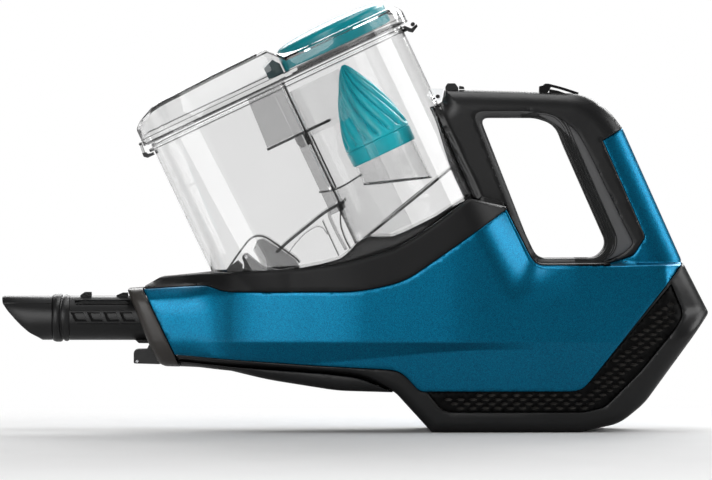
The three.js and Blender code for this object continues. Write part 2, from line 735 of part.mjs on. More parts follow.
function lidBody(offset, from, top, edge) {
  const geometry = new THREE.ExtrudeGeometry(binPlan(offset), {
    depth: top - from + 10 - edge, curveSegments: 7,
    bevelThickness: edge, bevelSize: edge, bevelOffset: -edge, bevelSegments: 2,
  });
  geometry.translate(0, 0, from - 10);
  const front = -offset;
  const rear = cycloneAt + binHalf + offset;
  const side = [
    [-20, from], [-20, top - 12], [front, top - 8.4], [front + 17, top], [lidStep, top],
    [lidStep + 7, top - rimDrop], [rear - 4, top - rimDrop], [rear, top - rimDrop - 5], [260, from],
  ];
  return toSolid(geometry).intersect(sidePrism(side, -reach, reach));
}

const hingeAt = [200.8, 94];
const hingePinRadius = 1.4;
const hingePinHalf = 21;
const earFrom = 15;
const earOutline = [
  [193.4, lidBase], [194, 105], [200, 101.5, 2], [hingeAt[0] + 2.8, hingeAt[1] + 3, 2],
  [hingeAt[0] + 2.8, hingeAt[1] - 2.8, 2], [hingeAt[0] - 2.6, hingeAt[1] - 2.8, 1.5],
  [hingeAt[0] - 2.6, lidBase],
];
const latchPivot = [-7.1, 99.6];
const latchPinRadius = 0.9;
const latchHalf = 8;
const latchEarTo = latchHalf + gap + 2.4;
const latchEarOutline = [
  [-4.2, lidBase], [-8.9, 98, 1], [-8.9, 101.4, 1.2], [-4.2, 103.4],
];

function pair(make, from, to) {
  return join(make(from, to), make(-to, -from));
}

const hingeBore = disc(hingePinRadius + gap, -40, 40, 'y', [hingeAt[0], 0, hingeAt[1]], 16);
const latchBore = disc(latchPinRadius + gap, -40, 40, 'y', [latchPivot[0], 0, latchPivot[1]], 12);
const capHole = disc(capRadius + gap, 90, 130, 'z', [capAt, 0, 0], 36);
const lidEars = pair((from, to) => sidePrism(earOutline, from, to), earFrom, hingePinHalf - 0.6);
const latchEars = pair((from, to) => sidePrism(latchEarOutline, from, to), latchHalf + gap, latchEarTo);
const lidHollow = lidBody(lidOverhang - lidWall, lidBase - 1, lidTop - lidWall, 2);
const lidCover = cut(
  join(lidBody(lidOverhang, lidBase, lidTop, 3), lidEars, latchEars),
  lidHollow, capHole, hingeBore, latchBore,
);
place('lid_cover', lidCover, clear, bin);
place(
  'hinge_pin',
  disc(hingePinRadius, -hingePinHalf, hingePinHalf, 'y', [hingeAt[0], 0, hingeAt[1]], 16), steel, bin,
);
place(
  'latch_pin',
  disc(latchPinRadius, -latchEarTo, latchEarTo, 'y', [latchPivot[0], 0, latchPivot[1]], 12), steel, bin,
);

const capTop = lidTop + capLift;
const capBase = 101.5;
const capProfile = [
  [0, capTop], [capRadius - 6, capTop], [capRadius - 1.5, capTop - 1.2], [capRadius, capTop - 4],
  [capRadius, capBase], [capRadius - 2.2, capBase], [capRadius - 2.2, capTop - 4.4],
  [capRadius - 7, capTop - 2.4], [0, capTop - 2.4],
];
place('cyclone_cap', turned([...capProfile].reverse(), 'z', [capAt, 0, 0], 36), turquoise, bin);

const gasketOuter = lidOverhang - lidWall - gap;
const gasket = cut(
  planPrism(binPlan(gasketOuter), binTop + gap, binTop + 3.4),
  planPrism(binPlan(-binWall), binTop - 2, binTop + 5),
);
place('lid_gasket', gasket, clearSeal, bin);

const bracketOutline = [
  [190, 84], [195, 86], [hingeAt[0] + 2.6, 91, 2], [hingeAt[0] + 2.6, 96.8, 2],
  [hingeAt[0] - 2.4, 96.8, 1], [hingeAt[0] - 4.4, 95], [190, 95],
];
const bracketHalf = earFrom - gap - 0.2;
const bracket = cut(
  sidePrism(bracketOutline, -bracketHalf, bracketHalf), binBody(gap, 0, 200), flange(gap), hingeBore,
);
place('hinge_bracket', bracket, clear, bin);

const latchOutline = [
  [-5.5, 101.2, 1.4], [-8.7, 101.2, 1.4], [-8.8, 91.6, 1], [-7.6, 88.8, 1], [-1.4, 88.8],
  [-1.4, 91], [-4.4, 91.1], [-5.5, 92.6],
];
place('lid_latch', cut(sidePrism(latchOutline, -latchHalf, latchHalf), latchBore), black, bin);

// ---------- crevice tool ----------

const toolBore = toolRadius - toolWall;
const ringFront = tubeFront - ringLength;
const toolTip = ringFront - mouthLength;

function sidePockets(xFrom, xTo, zFrom, zTo, depth) {
  const sleeve = ring(toolRadius - depth, 30, xFrom, xTo, 'x', [0, 0, toolHeight]);
  return sleeve.intersect(box(xFrom, xTo, -reach, reach, zFrom, zTo));
}

const windowCount = 4;
const windowPitch = 11.4;
const windowBar = 2.2;
const windowLow = -2.4; // from the tube's axis
const windowHigh = 3.6;
const windowDepth = 1.1;
const windows = [];
for (let i = 0; i < windowCount; i += 1) {
  const from = tubeFront + 2 + i * windowPitch;
  windows.push(sidePockets(
    from, from + windowPitch - windowBar, toolHeight + windowLow, toolHeight + windowHigh, windowDepth,
  ));
}
const tubeTop = toolHeight + toolRadius;
const nubs = join(
  box(tubeFront + 8, tubeFront + 16, -4, 4, tubeTop - 2, tubeTop + 2.6),
  box(tubeFront + 33, tubeFront + 41.2, -4, 4, tubeTop - 2, tubeTop + 2.2),
);
const railRecess = sidePockets(
  tubeFront + 8, tubeFront + 41, toolHeight + 7.4, toolHeight + 12.2, windowDepth,
);
const tubeBody = ring(toolBore, toolRadius, tubeFront + gap, tubeRear, 'x', [0, 0, toolHeight]);
place(
  'tool_tube',
  cut(join(tubeBody, nubs), ...windows, railRecess), black,
);
const ringRadius = toolRadius + 1.3;
const ringProfile = [
  [toolBore, ringFront + gap], [toolRadius, ringFront + gap], [ringRadius, ringFront + 2.4],
  [ringRadius, tubeFront - 3], [toolRadius + 0.4, tubeFront - gap], [toolBore, tubeFront - gap],
  [toolBore, ringFront + gap],
];
place('tool_ring', turned(ringProfile, 'x', [0, 0, toolHeight]), black);

const mouthNarrowing = 0.35; // share of the width lost at the tip

// Round tube that narrows sideways towards the tip.
function mouthBody(radius, tip) {
  const steps = 3;
  const profile = [[0, tip]];
  for (let i = 0; i <= steps; i += 1) profile.push([radius, tip + (ringFront - tip) * i / steps]);
  profile.push([0, ringFront]);
  const points = profile.map(([r, along]) => new THREE.Vector2(r, along));
  const geometry = new THREE.LatheGeometry(points, 32);
  geometry.rotateZ(-Math.PI / 2);
  const position = geometry.attributes.position;
  for (let i = 0; i < position.count; i += 1) {
    const narrowing = (ringFront - position.getX(i)) / (ringFront - toolTip);
    position.setZ(i, position.getZ(i) * (1 - mouthNarrowing * clamp01(narrowing)));
  }
  geometry.rotateX(Math.PI / 2);
  geometry.translate(0, 0, toolHeight);
  const solid = toSolid(geometry);
  return solid.volume() < 0 ? toSolid(flip(geometry)) : solid;
}
const mouthOutline = [
  [toolTip, 96], [ringFront, 96], [ringFront, 60],
  [ringFront - 6, 62.6, 3], [ringFront - 13.5, 68, 4], [toolTip, 91.5],
];
const mouth = mouthBody(toolRadius + 0.15, toolTip - 4).subtract(mouthBody(toolBore, toolTip - 8));
place('tool_mouth', mouth.intersect(sidePrism(mouthOutline, -reach, reach)), black);

// The release of the tool sits under its tube, in a notch of the collar's front.
const releaseOutline = [
  [-267.6, 59.4, 1], [-267.6, 62.7], [releaseRear, 62.7], [releaseRear, 59.4],
];
place('tool_release', sidePrism(releaseOutline, -releaseHalf, releaseHalf), black);
const connectorOutline = [
  [-268, 47, 1], [-268, 53.5], [-265.3, 56.4], [-255.4, 56.4], [-252.4, 50.6], [-252.4, 46.6],
];
place('connector_block', sidePrism(connectorOutline, -9, 9), black);

// ---------- drive, power and filter ----------

const motorRear = motorFront + motorLength;
const mountThickness = 3;
const bulkheadThickness = 3.5;
const bulkheadSlack = 3; // clear of the shells, for the ribs that carry it
const floorInside = 3.2;

// Cross wall that fills the housing and holds a round piece.
function bulkhead(from, holeRadius, top) {
  const fitted = bodyBlock(wall + bulkheadSlack);
  const narrow = bodyBlock(grilleSink + grilleThickness + bulkheadSlack);
  const behindGrille = 30;
  const to = from + bulkheadThickness;
  const sheet = join(
    fitted.intersect(box(from, to, -reach, reach, behindGrille, top)),
    narrow.intersect(box(from, to, -reach, reach, floorInside + gap, behindGrille)),
  );
  return cut(sheet, disc(holeRadius, from - 5, from + 10, 'x', [0, 0, motorHeight], 32));
}
const mountRadius = motorRadius + gap + mountThickness;
place('front_bulkhead', bulkhead(motorFront + 1, mountRadius + gap, 108), black);
place('rear_bulkhead', bulkhead(motorRear - 8, motorRadius + gap, 106), black);
place(
  'motor_mount',
  ring(motorRadius + gap, mountRadius, motorFront - 1, motorFront + 7, 'x', [0, 0, motorHeight], 32),
  rubber,
);
const fanRoom = 22;
const shaftRadius = 2.5;
const canProfile = [
  [14, motorFront], [motorRadius, motorFront], [motorRadius, motorRear - 3],
  [motorRadius - 3, motorRear], [0, motorRear], [0, motorRear - 12], [shaftRadius + gap, motorRear - 12],
  [shaftRadius + gap, motorFront + fanRoom], [motorRadius - 2.5, motorFront + fanRoom],
  [motorRadius - 2.5, motorFront + 2.5], [14, motorFront + 2.5], [14, motorFront],
];
place('motor_can', turned(canProfile, 'x', [0, 0, motorHeight], 32), steel);
const shaftFrom = motorFront + 3;
const shaftTo = motorRear - 12 - gap;
place('motor_shaft', disc(shaftRadius, shaftFrom, shaftTo, 'x', [0, 0, motorHeight], 20), steel);

// Fan wheel: a back plate with curved blades around the hub.
function fanWheel() {
  const bladeCount = 9;
  const wheelRadius = 27;
  const plateAt = motorFront + fanRoom - 4;
  const hubRadius = 6;
  const bore = disc(shaftRadius + gap, -100, 100, 'x', [0, 0, motorHeight], 20);
  const plate = disc(wheelRadius, plateAt, plateAt + 2, 'x', [0, 0, motorHeight], 36);
  const hub = disc(hubRadius, plateAt - 9, plateAt + 1, 'x', [0, 0, motorHeight], 24);
  const bladeShape = new THREE.Shape();
  bladeShape.moveTo(hubRadius - 1, -0.8);
  bladeShape.quadraticCurveTo(wheelRadius * 0.6, -1.2, wheelRadius - 1, 9);
  bladeShape.lineTo(wheelRadius - 2.2, 10);
  bladeShape.quadraticCurveTo(wheelRadius * 0.6, 0.8, hubRadius - 1, 0.8);
  bladeShape.closePath();
  const blades = [];
  for (let i = 0; i < bladeCount; i += 1) {
    const geometry = new THREE.ExtrudeGeometry(bladeShape, {
      depth: 8, bevelEnabled: false, curveSegments: 4,
    });
    geometry.rotateZ(2 * Math.PI * i / bladeCount);
    geometry.rotateY(Math.PI / 2);
    geometry.translate(plateAt - 7.5, 0, motorHeight);
    blades.push(toSolid(geometry));
  }
  return cut(join(plate, hub, ...blades), bore);
}
place('impeller', fanWheel(), softBlack);

const lowerCells = [[39, 40], [58, 40], [77, 40]];
const upperCells = [[48.5, 58], [67.5, 58], [86.5, 58]];
const cells = [...lowerCells, ...upperCells];
const holderOutline = [
  [31, 31.4], [82, 31.4], [94.6, 54], [94.6, 66.6, 3], [41, 66.6, 4], [31, 46],
];
const packParts = cells.map(([x, z]) => disc(
  cellRadius, -cellLength / 2, cellLength / 2, 'y', [x, 0, z], 14,
));
packParts.push(sidePrism(holderOutline, -24, -20), sidePrism(holderOutline, 20, 24));
place('battery_pack', join(...packParts), cellWrap);

const trayTop = 40 - cellRadius - gap;
const trayRib = [[30, floorInside + gap], [41, floorInside + gap], [70.5, 13.6], [78.4, 20.4], [82.6, 27],
  [82.6, trayTop - 1], [30, trayTop - 1]];
const tray = join(
  box(30, 82.6, -28, 28, trayTop - 2.6, trayTop), sidePrism(trayRib, -18, -15), sidePrism(trayRib, 15, 18),
);
place('battery_tray', tray.intersect(inside), black);

const boardFoot = 58 + cellRadius + gap;
place('control_board', box(43, 93, -24, 24, boardFoot, boardFoot + 1.6), board);

const filterHalf = filterRadius - 2;
const filterTop = -46 - binClear - gap;
const filterFoot = filterLedge + gap;
place(
  'filter_frame',
  ring(filterHalf, filterRadius, filterFoot, filterTop, 'z', [cycloneAt, 0, 0], 40), warmGrey, bin,
);

// Pleated disc: its rim zigzags.
function pleatedDisc() {
  const pleats = 24;
  const shape = new THREE.Shape();
  for (let i = 0; i < 2 * pleats; i += 1) {
    const radius = filterHalf - gap - (i % 2) * 2;
    const angle = Math.PI * i / pleats;
    if (i === 0) shape.moveTo(radius, 0);
    else shape.lineTo(radius * Math.cos(angle), radius * Math.sin(angle));
  }
  const geometry = new THREE.ExtrudeGeometry(shape, {
    depth: filterTop - filterFoot, bevelEnabled: false,
  });
  geometry.translate(cycloneAt, 0, filterFoot);
  return toSolid(geometry);
}
place('filter', pleatedDisc(), felt, bin);

export default vacuum;
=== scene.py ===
"""Studio view of a handheld vacuum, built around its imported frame."""

import json
import math

import bmesh
import bpy
import numpy as np
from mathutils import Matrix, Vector
from mathutils.geometry import delaunay_2d_cdt


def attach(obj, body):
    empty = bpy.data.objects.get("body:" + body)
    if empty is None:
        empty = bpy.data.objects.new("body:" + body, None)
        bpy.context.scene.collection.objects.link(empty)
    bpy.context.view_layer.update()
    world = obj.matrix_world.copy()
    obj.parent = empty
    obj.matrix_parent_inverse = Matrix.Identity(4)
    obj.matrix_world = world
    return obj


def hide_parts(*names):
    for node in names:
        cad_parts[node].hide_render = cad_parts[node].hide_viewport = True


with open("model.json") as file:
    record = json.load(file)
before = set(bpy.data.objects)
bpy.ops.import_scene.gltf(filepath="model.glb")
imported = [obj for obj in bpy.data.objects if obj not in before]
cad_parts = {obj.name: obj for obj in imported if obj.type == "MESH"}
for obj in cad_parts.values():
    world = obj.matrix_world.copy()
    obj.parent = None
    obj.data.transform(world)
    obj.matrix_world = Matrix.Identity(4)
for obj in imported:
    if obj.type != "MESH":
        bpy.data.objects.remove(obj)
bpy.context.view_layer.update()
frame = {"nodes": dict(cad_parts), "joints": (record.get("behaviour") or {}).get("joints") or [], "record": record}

nodes = frame["nodes"]

# All sizes are in millimetres unless a comment says otherwise.
MM = 0.001
# Gap between neighbouring panels, and half the gap between the two halves of the body.
GAP = 0.3
MIDDLE = 0.12
SIDES = ((-1, "_near"), (1, "_far"))
TOOL_HEIGHT = 78.6
COLLAR_BORE = 16.4
SHARP_ANGLE = math.radians(32)
WELD = 0.00001

# ---------- the bin's own directions ----------

lift = next(j for j in frame["joints"] if j["name"] == "bin_lift")
UP = np.array([lift["axis"][0], lift["axis"][2]])
BACK = np.array([UP[1], -UP[0]])
BIN_CORNER = np.array([-214.4, 113.0])
BIN_HALF = 48.5
BIN_FRONT_RADIUS = 42.0
CYCLONE_AT = 144.5


def in_bin(x, z):
    """Distance behind the bin's front wall, and height along the bin's axis."""
    dx = x - BIN_CORNER[0]
    dz = z - BIN_CORNER[1]
    return dx * BACK[0] + dz * BACK[1], dx * UP[0] + dz * UP[1]


def from_bin(along, height):
    """Side view place of a point given in the bin's own directions."""
    x = BIN_CORNER[0] + along * BACK[0] + height * UP[0]
    z = BIN_CORNER[1] + along * BACK[1] + height * UP[1]
    return x, z


def bin_half_at(along, offset=0.0):
    """Half width of the bin's plan outline, grown by offset; below zero outside it."""
    along = np.asarray(along, float)
    half = BIN_HALF + offset
    corner = BIN_FRONT_RADIUS + offset
    front = BIN_FRONT_RADIUS - along
    rear = along - CYCLONE_AT
    nose = half - corner + np.sqrt(np.clip(corner ** 2 - front ** 2, 0, None))
    tail = np.sqrt(np.clip(half ** 2 - rear ** 2, 0, None))
    result = np.where(along < BIN_FRONT_RADIUS, nose, np.where(rear > 0, tail, half))
    outside = (front > corner) | (rear > half)
    return np.where(outside, -1.0, result)


# ---------- smooth curves ----------


def smooth_step(value, start, end):
    """0 up to start and 1 from end on, with a smooth rise between."""
    t = np.clip((value - start) / (end - start), 0, 1)
    return t * t * (3 - 2 * t)


def soft_min(a, b, radius):
    """The smaller of a and b, blended over radius."""
    h = np.clip(0.5 + 0.5 * (b - a) / radius, 0, 1)
    return b * (1 - h) + a * h - radius * h * (1 - h)


def spline(stations, x):
    """Monotone curve through (place, value) stations."""
    px = np.array([s[0] for s in stations], float)
    py = np.array([s[1] for s in stations], float)
    step = np.diff(px)
    slope = np.diff(py) / step
    tangent = np.zeros(len(px))
    same = slope[:-1] * slope[1:] > 0
    harmonic = 2 * slope[:-1] * slope[1:] / np.where(same, slope[:-1] + slope[1:], 1)
    tangent[1:-1] = np.where(same, harmonic, 0)
    tangent[0] = slope[0]
    tangent[-1] = slope[-1]
    x = np.clip(np.asarray(x, float), px[0], px[-1])
    i = np.clip(np.searchsorted(px, x) - 1, 0, len(px) - 2)
    t = (x - px[i]) / step[i]
    h00 = 2 * t ** 3 - 3 * t ** 2 + 1
    h10 = t ** 3 - 2 * t ** 2 + t
    h01 = -2 * t ** 3 + 3 * t ** 2
    h11 = t ** 3 - t ** 2
    return h00 * py[i] + h10 * step[i] * tangent[i] + h01 * py[i + 1] + h11 * step[i] * tangent[i + 1]


# ---------- the skin of the body ----------

WAIST = 63.0
HANDLE_HALF = 17.0
POST_FOOT = (-7.6, 155.0)
POST_LEAN = (-0.892, -0.451)
LOOP_FOOT = 116.0
SHOULDER_RUN = 28.0
SHOULDER_START = 2.2
SHOULDER_POWER = 2.2
# Share of the width that stands out in a ledge along the loop, and what it gains towards the tail.
LEDGE = 0.5
LEDGE_GAIN = 0.34
WAIST_DROP = 5
BELLY_SLOPE = 0.11
LIP_SLOPE = 0.34
TAIL_AT = 103
TAIL_SLOPE = 0.6
NOSE_HEIGHT = 73.5
NOSE_HALF_HIGH = 31
NOSE_POWER = 3.5
PLAN = [
    (-280, 24), (-225, 30.6), (-214, 32.9), (-206, 36.0), (-197, 40.6), (-186, 44.6), (-170, 48.4),
    (-150, 51.6), (-105, 56), (-50, 56), (0, 52), (50, 47), (90, 43), (140, 38),
]
WAIST_BAND = [(-280, 12), (-195, 17), (-12, 5), (140, 5)]


def ramp_up(t, fillet):
    """Straight ramp from 0 to 1 with both corners rounded over fillet."""
    t = np.asarray(t, float)
    low = np.clip(t + fillet, 0, 2 * fillet) ** 2 / (4 * fillet)
    start = np.where(t > fillet, t, low)
    high = np.clip(1 + fillet - start, 0, 2 * fillet) ** 2 / (4 * fillet)
    return np.where(start < 1 - fillet, start, 1 - high)


def lip_line(x):
    """Height of the crease under the rounded lip at the nose."""
    return np.interp(x, [-262, -216, -207], [91.6, 96.0, 94.0])


def from_post(x, z):
    """Distance from the handle's loop, measured out over the body."""
    left = POST_LEAN[0] * (x - POST_FOOT[0]) + POST_LEAN[1] * (z - POST_FOOT[1])
    return -soft_min(-left, z - LOOP_FOOT, 9.0)


def half_width(x, z):
    """Half width of the body at points of the side view, without edge rounding."""
    x = np.asarray(x, float)
    z = np.asarray(z, float)
    half = spline(PLAN, x)
    wide = smooth_step(x, -215, -195)
    band = spline(WAIST_BAND, x)
    below = np.clip(WAIST - z, 0, None)
    fade = 1 - smooth_step(x, -55, 25)
    half = half - WAIST_DROP * wide * fade * ramp_up((WAIST - z) / band, 0.09) - BELLY_SLOPE * below
    nose = 1 - smooth_step(x, -235, -205)
    rise = np.clip(np.abs(z - NOSE_HEIGHT) / NOSE_HALF_HIGH, 0, 0.985)
    half = half * (1 - nose * (1 - (1 - rise ** NOSE_POWER) ** (1 / NOSE_POWER)))
    lip = z - lip_line(x)
    tilt = 0.5 * (lip + np.sqrt(lip ** 2 + 0.5)) - 0.35
    half = half - LIP_SLOPE * tilt * smooth_step(-x, 200, 212)
    half = half - TAIL_SLOPE * np.clip(x - TAIL_AT, 0, None) * smooth_step(z, 66, 88)
    reach = from_post(x, z)
    left = np.clip(1 - np.clip(reach - SHOULDER_START, 0, None) / SHOULDER_RUN, 0, 1)
    slope = 1 - left ** SHOULDER_POWER
    wall = smooth_step(reach, -0.5 - 1.1 * smooth_step(x, 70, 80), 0)
    ledge = LEDGE + LEDGE_GAIN * smooth_step(x, -12, 44)
    return HANDLE_HALF + (half - HANDLE_HALF) * (ledge * wall + (1 - ledge) * slope)


def handle_width(x, z):
    """Half width of the handle's loop, with the wider front edge of its post.

    The body stands out beyond it in a ledge along their seam.
    """
    along, _ = in_bin(np.asarray(x, float), np.asarray(z, float))
    return HANDLE_HALF + 7 * smooth_step(-along, -193, -189)


# ---------- outlines ----------


def corner_cut(before, here, after, radius, most):
    """Where the curve round a corner starts and ends, at most a share of each side away."""
    ends = []
    for other in (before, after):
        side = other - here
        length = np.linalg.norm(side)
        ends.append(here + side / length * min(radius, length * most))
    return ends


def bend(start, here, end, t):
    """Point on the curve from start to end that is pulled towards here."""
    return (1 - t) ** 2 * start + 2 * t * (1 - t) * here + t * t * end


def trace(entries, step=2.0):
    """Samples a closed outline of (x, z) or (x, z, radius) corners.

    radius is the length trimmed off each side of a corner for its curve. A word among the
    corners names the stretches after the corner before it: "edge" on the silhouette, "seam"
    where the piece meets a neighbour.
    """
    corners = []
    kinds_after = []
    kind = "seam"
    for entry in entries:
        if isinstance(entry, str):
            kind = entry
            if kinds_after:
                kinds_after[-1] = kind
        else:
            corners.append((entry[0], entry[1], entry[2] if len(entry) > 2 else 0.0))
            kinds_after.append(kind)
    count = len(corners)
    places = [np.array(c[:2], float) for c in corners]
    cuts = []
    for i, here in enumerate(places):
        cuts.append(corner_cut(places[i - 1], here, places[(i + 1) % count], corners[i][2], 0.5))
    points = []
    kinds = []
    for i, here in enumerate(places):
        start, end = cuts[i]
        if corners[i][2] > 0:
            bends = max(4, int(corners[i][2] * 1.6))
            for k in range(bends):
                t = k / bends
                points.append(bend(start, here, end, t))
                kinds.append(kinds_after[i - 1] if t < 0.5 else kinds_after[i])
        following = cuts[(i + 1) % count][0]
        pieces = max(1, int(round(np.linalg.norm(following - end) / step)))
        for k in range(pieces):
            points.append(end + (following - end) * k / pieces)
            kinds.append(kinds_after[i])
    return np.array(points), kinds


def inside(points, loop):
    """Whether each point lies inside the loop."""
    x, y = points[:, 0:1], points[:, 1:2]
    x0, y0 = loop[:, 0], loop[:, 1]
    x1, y1 = np.roll(x0, -1), np.roll(y0, -1)
    crosses = (y0 > y) != (y1 > y)
    rise = np.where(y1 == y0, 1e-9, y1 - y0)
    at = x0 + (y - y0) * (x1 - x0) / rise
    return (np.sum(crosses & (x < at), axis=1) % 2) == 1


def distance_to(points, starts, ends):
    """Distance from each point to the nearest of the segments."""
    best = np.full(len(points), 1e6)
    for begin in range(0, len(starts), 200):
        a = starts[begin:begin + 200]
        d = ends[begin:begin + 200] - a
        rel = points[:, None, :] - a[None]
        t = np.clip(np.sum(rel * d, axis=2) / np.maximum(np.sum(d * d, axis=1), 1e-9), 0, 1)
        gap = np.linalg.norm(rel - t[..., None] * d, axis=2)
        best = np.minimum(best, gap.min(axis=1))
    return best


# ---------- mesh building ----------


def put_in_scene(name, data):
    thing = bpy.data.objects.new(name, data)
    bpy.context.scene.collection.objects.link(thing)
    return thing


def make_object(name, vertices, faces, material):
    """Smooth mesh object from vertices in millimetres."""
    mesh = bpy.data.meshes.new(name)
    mesh.from_pydata([tuple(v) for v in np.asarray(vertices) * MM], [], faces)
    mesh.validate()
    mesh.update()
    mesh.polygons.foreach_set("use_smooth", [True] * len(mesh.polygons))
    mesh.materials.append(material)
    return put_in_scene(name, mesh)


def enrol(piece, body, replaced):
    """Hangs a piece on its body and hides the frame's parts that it stands in for."""
    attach(piece, body)
    if replaced:
        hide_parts(*replaced)


def rounding(distance, radius, reach=1.0):
    """How far the surface drops at a distance from an edge rounded with radius.

    reach stretches the curve inwards from the edge.
    """
    inner = np.clip(radius - distance / reach, 0, None)
    return radius - np.sqrt(np.clip(radius ** 2 - inner ** 2, 0, None))


def crease_points(lines):
    """Rows of points along and beside each crease line."""
    rows = [np.zeros((0, 2))]
    for line in lines:
        line = np.array(line, float)
        for a, b in zip(line[:-1], line[1:]):
            length = np.linalg.norm(b - a)
            along = (b - a) / length
            across = np.array([-along[1], along[0]])
            places = a + np.outer(np.arange(0, length, 1.6), along)
            for offset in (0.0, 0.35, 0.8, 1.5, 2.4):
                rows += [places + across * offset, places - across * offset]
    return np.concatenate(rows)


def in_panel(points, loops):
    """Whether points lie inside the first loop and outside the others, which are holes."""
    result = inside(points, loops[0][0])
    for hole, _ in loops[1:]:
        result &= ~inside(points, hole)
    return result


def panel_points(loops, borders, edge_radius, seam_radius, grid, lines):
    """Points inside a panel: rows along its borders and creases, and a grid between them."""
    starts, ends, is_edge = borders
    low, high = starts.min(axis=0), starts.max(axis=0)
    mesh_x, mesh_z = np.meshgrid(
        np.arange(low[0], high[0], grid), np.arange(low[1], high[1], grid * 0.866),
    )
    mesh_x = mesh_x + (np.arange(len(mesh_x)) % 2)[:, None] * grid / 2
    between = np.stack([mesh_x.ravel(), mesh_z.ravel()], axis=1)
    middle = (starts + ends) / 2
    run = ends - starts
    normal = np.stack([-run[:, 1], run[:, 0]], axis=1)
    normal /= np.maximum(np.linalg.norm(normal, axis=1, keepdims=True), 1e-9)
    rows = []
    for share in (0.2, 0.55, 1.0):
        rows += [middle + normal * seam_radius * share, middle - normal * seam_radius * share]
    middle, normal = middle[is_edge], normal[is_edge] * edge_radius
    for share in (0.03, 0.1, 0.2, 0.34, 0.5, 0.7, 1.0):
        rows += [middle + normal * share, middle - normal * share]
    creases = crease_points(lines)
    pool = np.concatenate([*rows, creases, between])
    in_rows = np.arange(len(pool)) < len(pool) - len(between)
    keep = in_panel(pool, loops)
    pool, in_rows = pool[keep], in_rows[keep]
    near = distance_to(pool, starts, ends)
    clear = (near > 0.8 * grid) & (distance_to(pool, creases, creases) > 0.6 * grid)
    thinned = {}
    for point in pool[np.where(in_rows, near > 0.18 * seam_radius, clear)]:
        thinned.setdefault((round(point[0] / 0.3), round(point[1] / 0.3)), point)
    return list(thinned.values())


def skin_mesh(loops, edge_radius, seam_radius, grid, lines):
    """Flat triangles inside the loops, and each point's distance to seams and to edges."""
    starts = np.concatenate([points for points, _ in loops])
    ends = np.concatenate([np.roll(points, -1, axis=0) for points, _ in loops])
    is_edge = np.array([kind == "edge" for _, kinds in loops for kind in kinds])
    within = panel_points(loops, (starts, ends, is_edge), edge_radius, seam_radius, grid, lines)
    borders = []
    base = 0
    for points, _ in loops:
        count = len(points)
        borders += [(base + i, base + (i + 1) % count) for i in range(count)]
        base += count
    flat, _, faces, *_ = delaunay_2d_cdt([Vector(p) for p in (*starts, *within)], borders, [], 0, 1e-5)
    flat = np.array([[p[0], p[1]] for p in flat])
    faces = np.array([list(f) for f in faces])
    faces = faces[in_panel(flat[faces].mean(axis=1), loops)]
    seam_gap = distance_to(flat, starts[~is_edge], ends[~is_edge])
    edge_gap = distance_to(flat, starts[is_edge], ends[is_edge])
    return flat, faces.tolist(), seam_gap, edge_gap


def middle_line(x, z):
    return np.full(len(x), MIDDLE)


def skin_panel(
    name, outline, material, *replaced, slot=None, holes=(), lines=(), edge_radius=6.0,
    seam_radius=0.6, inset=0.0, grid=2.4, depth=3.0, width=half_width, edge_target=middle_line,
    step=2.0, reach=1.0,
):
    """A housing piece drawn in the side view and wrapped over the body's skin, on both sides.

    Along the silhouette it turns in to edge_target; along seams its wall is `depth` thick.
    """
    loops = [trace(outline, step)] + [trace(hole, step) for hole in holes]
    flat, faces, seam_gap, edge_gap = skin_mesh(loops, edge_radius * reach, seam_radius, grid, lines)
    x, z = flat[:, 0], flat[:, 1]
    full = width(x, z) - inset
    half = full - rounding(seam_gap, seam_radius)
    half = half - rounding(edge_gap, np.minimum(edge_radius, full * 0.92), reach)
    rim_target = edge_target(x, z)
    on_edge = (edge_gap < 0.02) & (edge_gap <= seam_gap)
    inner = np.maximum(half - (depth(x, z) if callable(depth) else depth), rim_target)
    inner = np.where(on_edge, rim_target, inner)
    half = np.maximum(half, inner + 0.05)
    directed = {pair: True for a, b, c in faces for pair in ((a, b), (b, c), (c, a))}
    rim = [(a, b) for a, b in directed if (b, a) not in directed]
    count = len(flat)
    for side, end in SIDES:
        outside = np.stack([x, side * half, z], axis=1)
        within = np.stack([x, side * inner, z], axis=1)
        polygons = faces + [[c + count, b + count, a + count] for a, b, c in faces]
        polygons += [[b, a, a + count, b + count] for a, b in rim]
        if side > 0:
            polygons = [p[::-1] for p in polygons]
        piece = make_object(name + end, np.concatenate([outside, within]), polygons, material)
        enrol(piece, "body", replaced if side < 0 else ())


# ---------- solids drawn in the bin's own directions ----------


def put(along, across, height):
    """Place of a point given in the bin's directions."""
    along, across, height = np.broadcast_arrays(along, across, height)
    x, z = from_bin(along.astype(float), height.astype(float))
    return np.stack([x, across.astype(float), z], axis=-1)


def solid(name, form, material, body, *replaced, slot=None):
    """Closed piece of a (vertices, faces) form, with its faces turned outwards."""
    piece = make_object(name, *form, material)
    work = bmesh.new()
    work.from_mesh(piece.data)
    bmesh.ops.remove_doubles(work, verts=work.verts, dist=WELD)
    bmesh.ops.recalc_face_normals(work, faces=work.faces)
    work.to_mesh(piece.data)
    work.free()
    piece.data.set_sharp_from_angle(angle=SHARP_ANGLE)
    enrol(piece, body, replaced)


def loft(rings, closed=False, ends=True):
    """Vertices and faces of a skin through rings of points, capped or joined end to end."""
    count = len(rings[0])
    vertices = np.concatenate(rings)
    faces = []
    last = len(rings) if closed else len(rings) - 1
    for i in range(last):
        a, b = i * count, ((i + 1) % len(rings)) * count
        for k in range(count):
            n = (k + 1) % count
            faces.append([a + k, a + n, b + n, b + k])
    if ends and not closed:
        top = (len(rings) - 1) * count
        faces.append(list(range(count))[::-1])
        faces.append([top + k for k in range(count)])
    return vertices, faces


def round_ring(centre, radius, height, count=96):
    """Ring around an upright axis of the bin, at a height or at height(along)."""
    angles = np.arange(count) * 2 * math.pi / count
    along = centre + radius * np.cos(angles)
    high = height(along) if callable(height) else float(height)
    return put(along, radius * np.sin(angles), high)


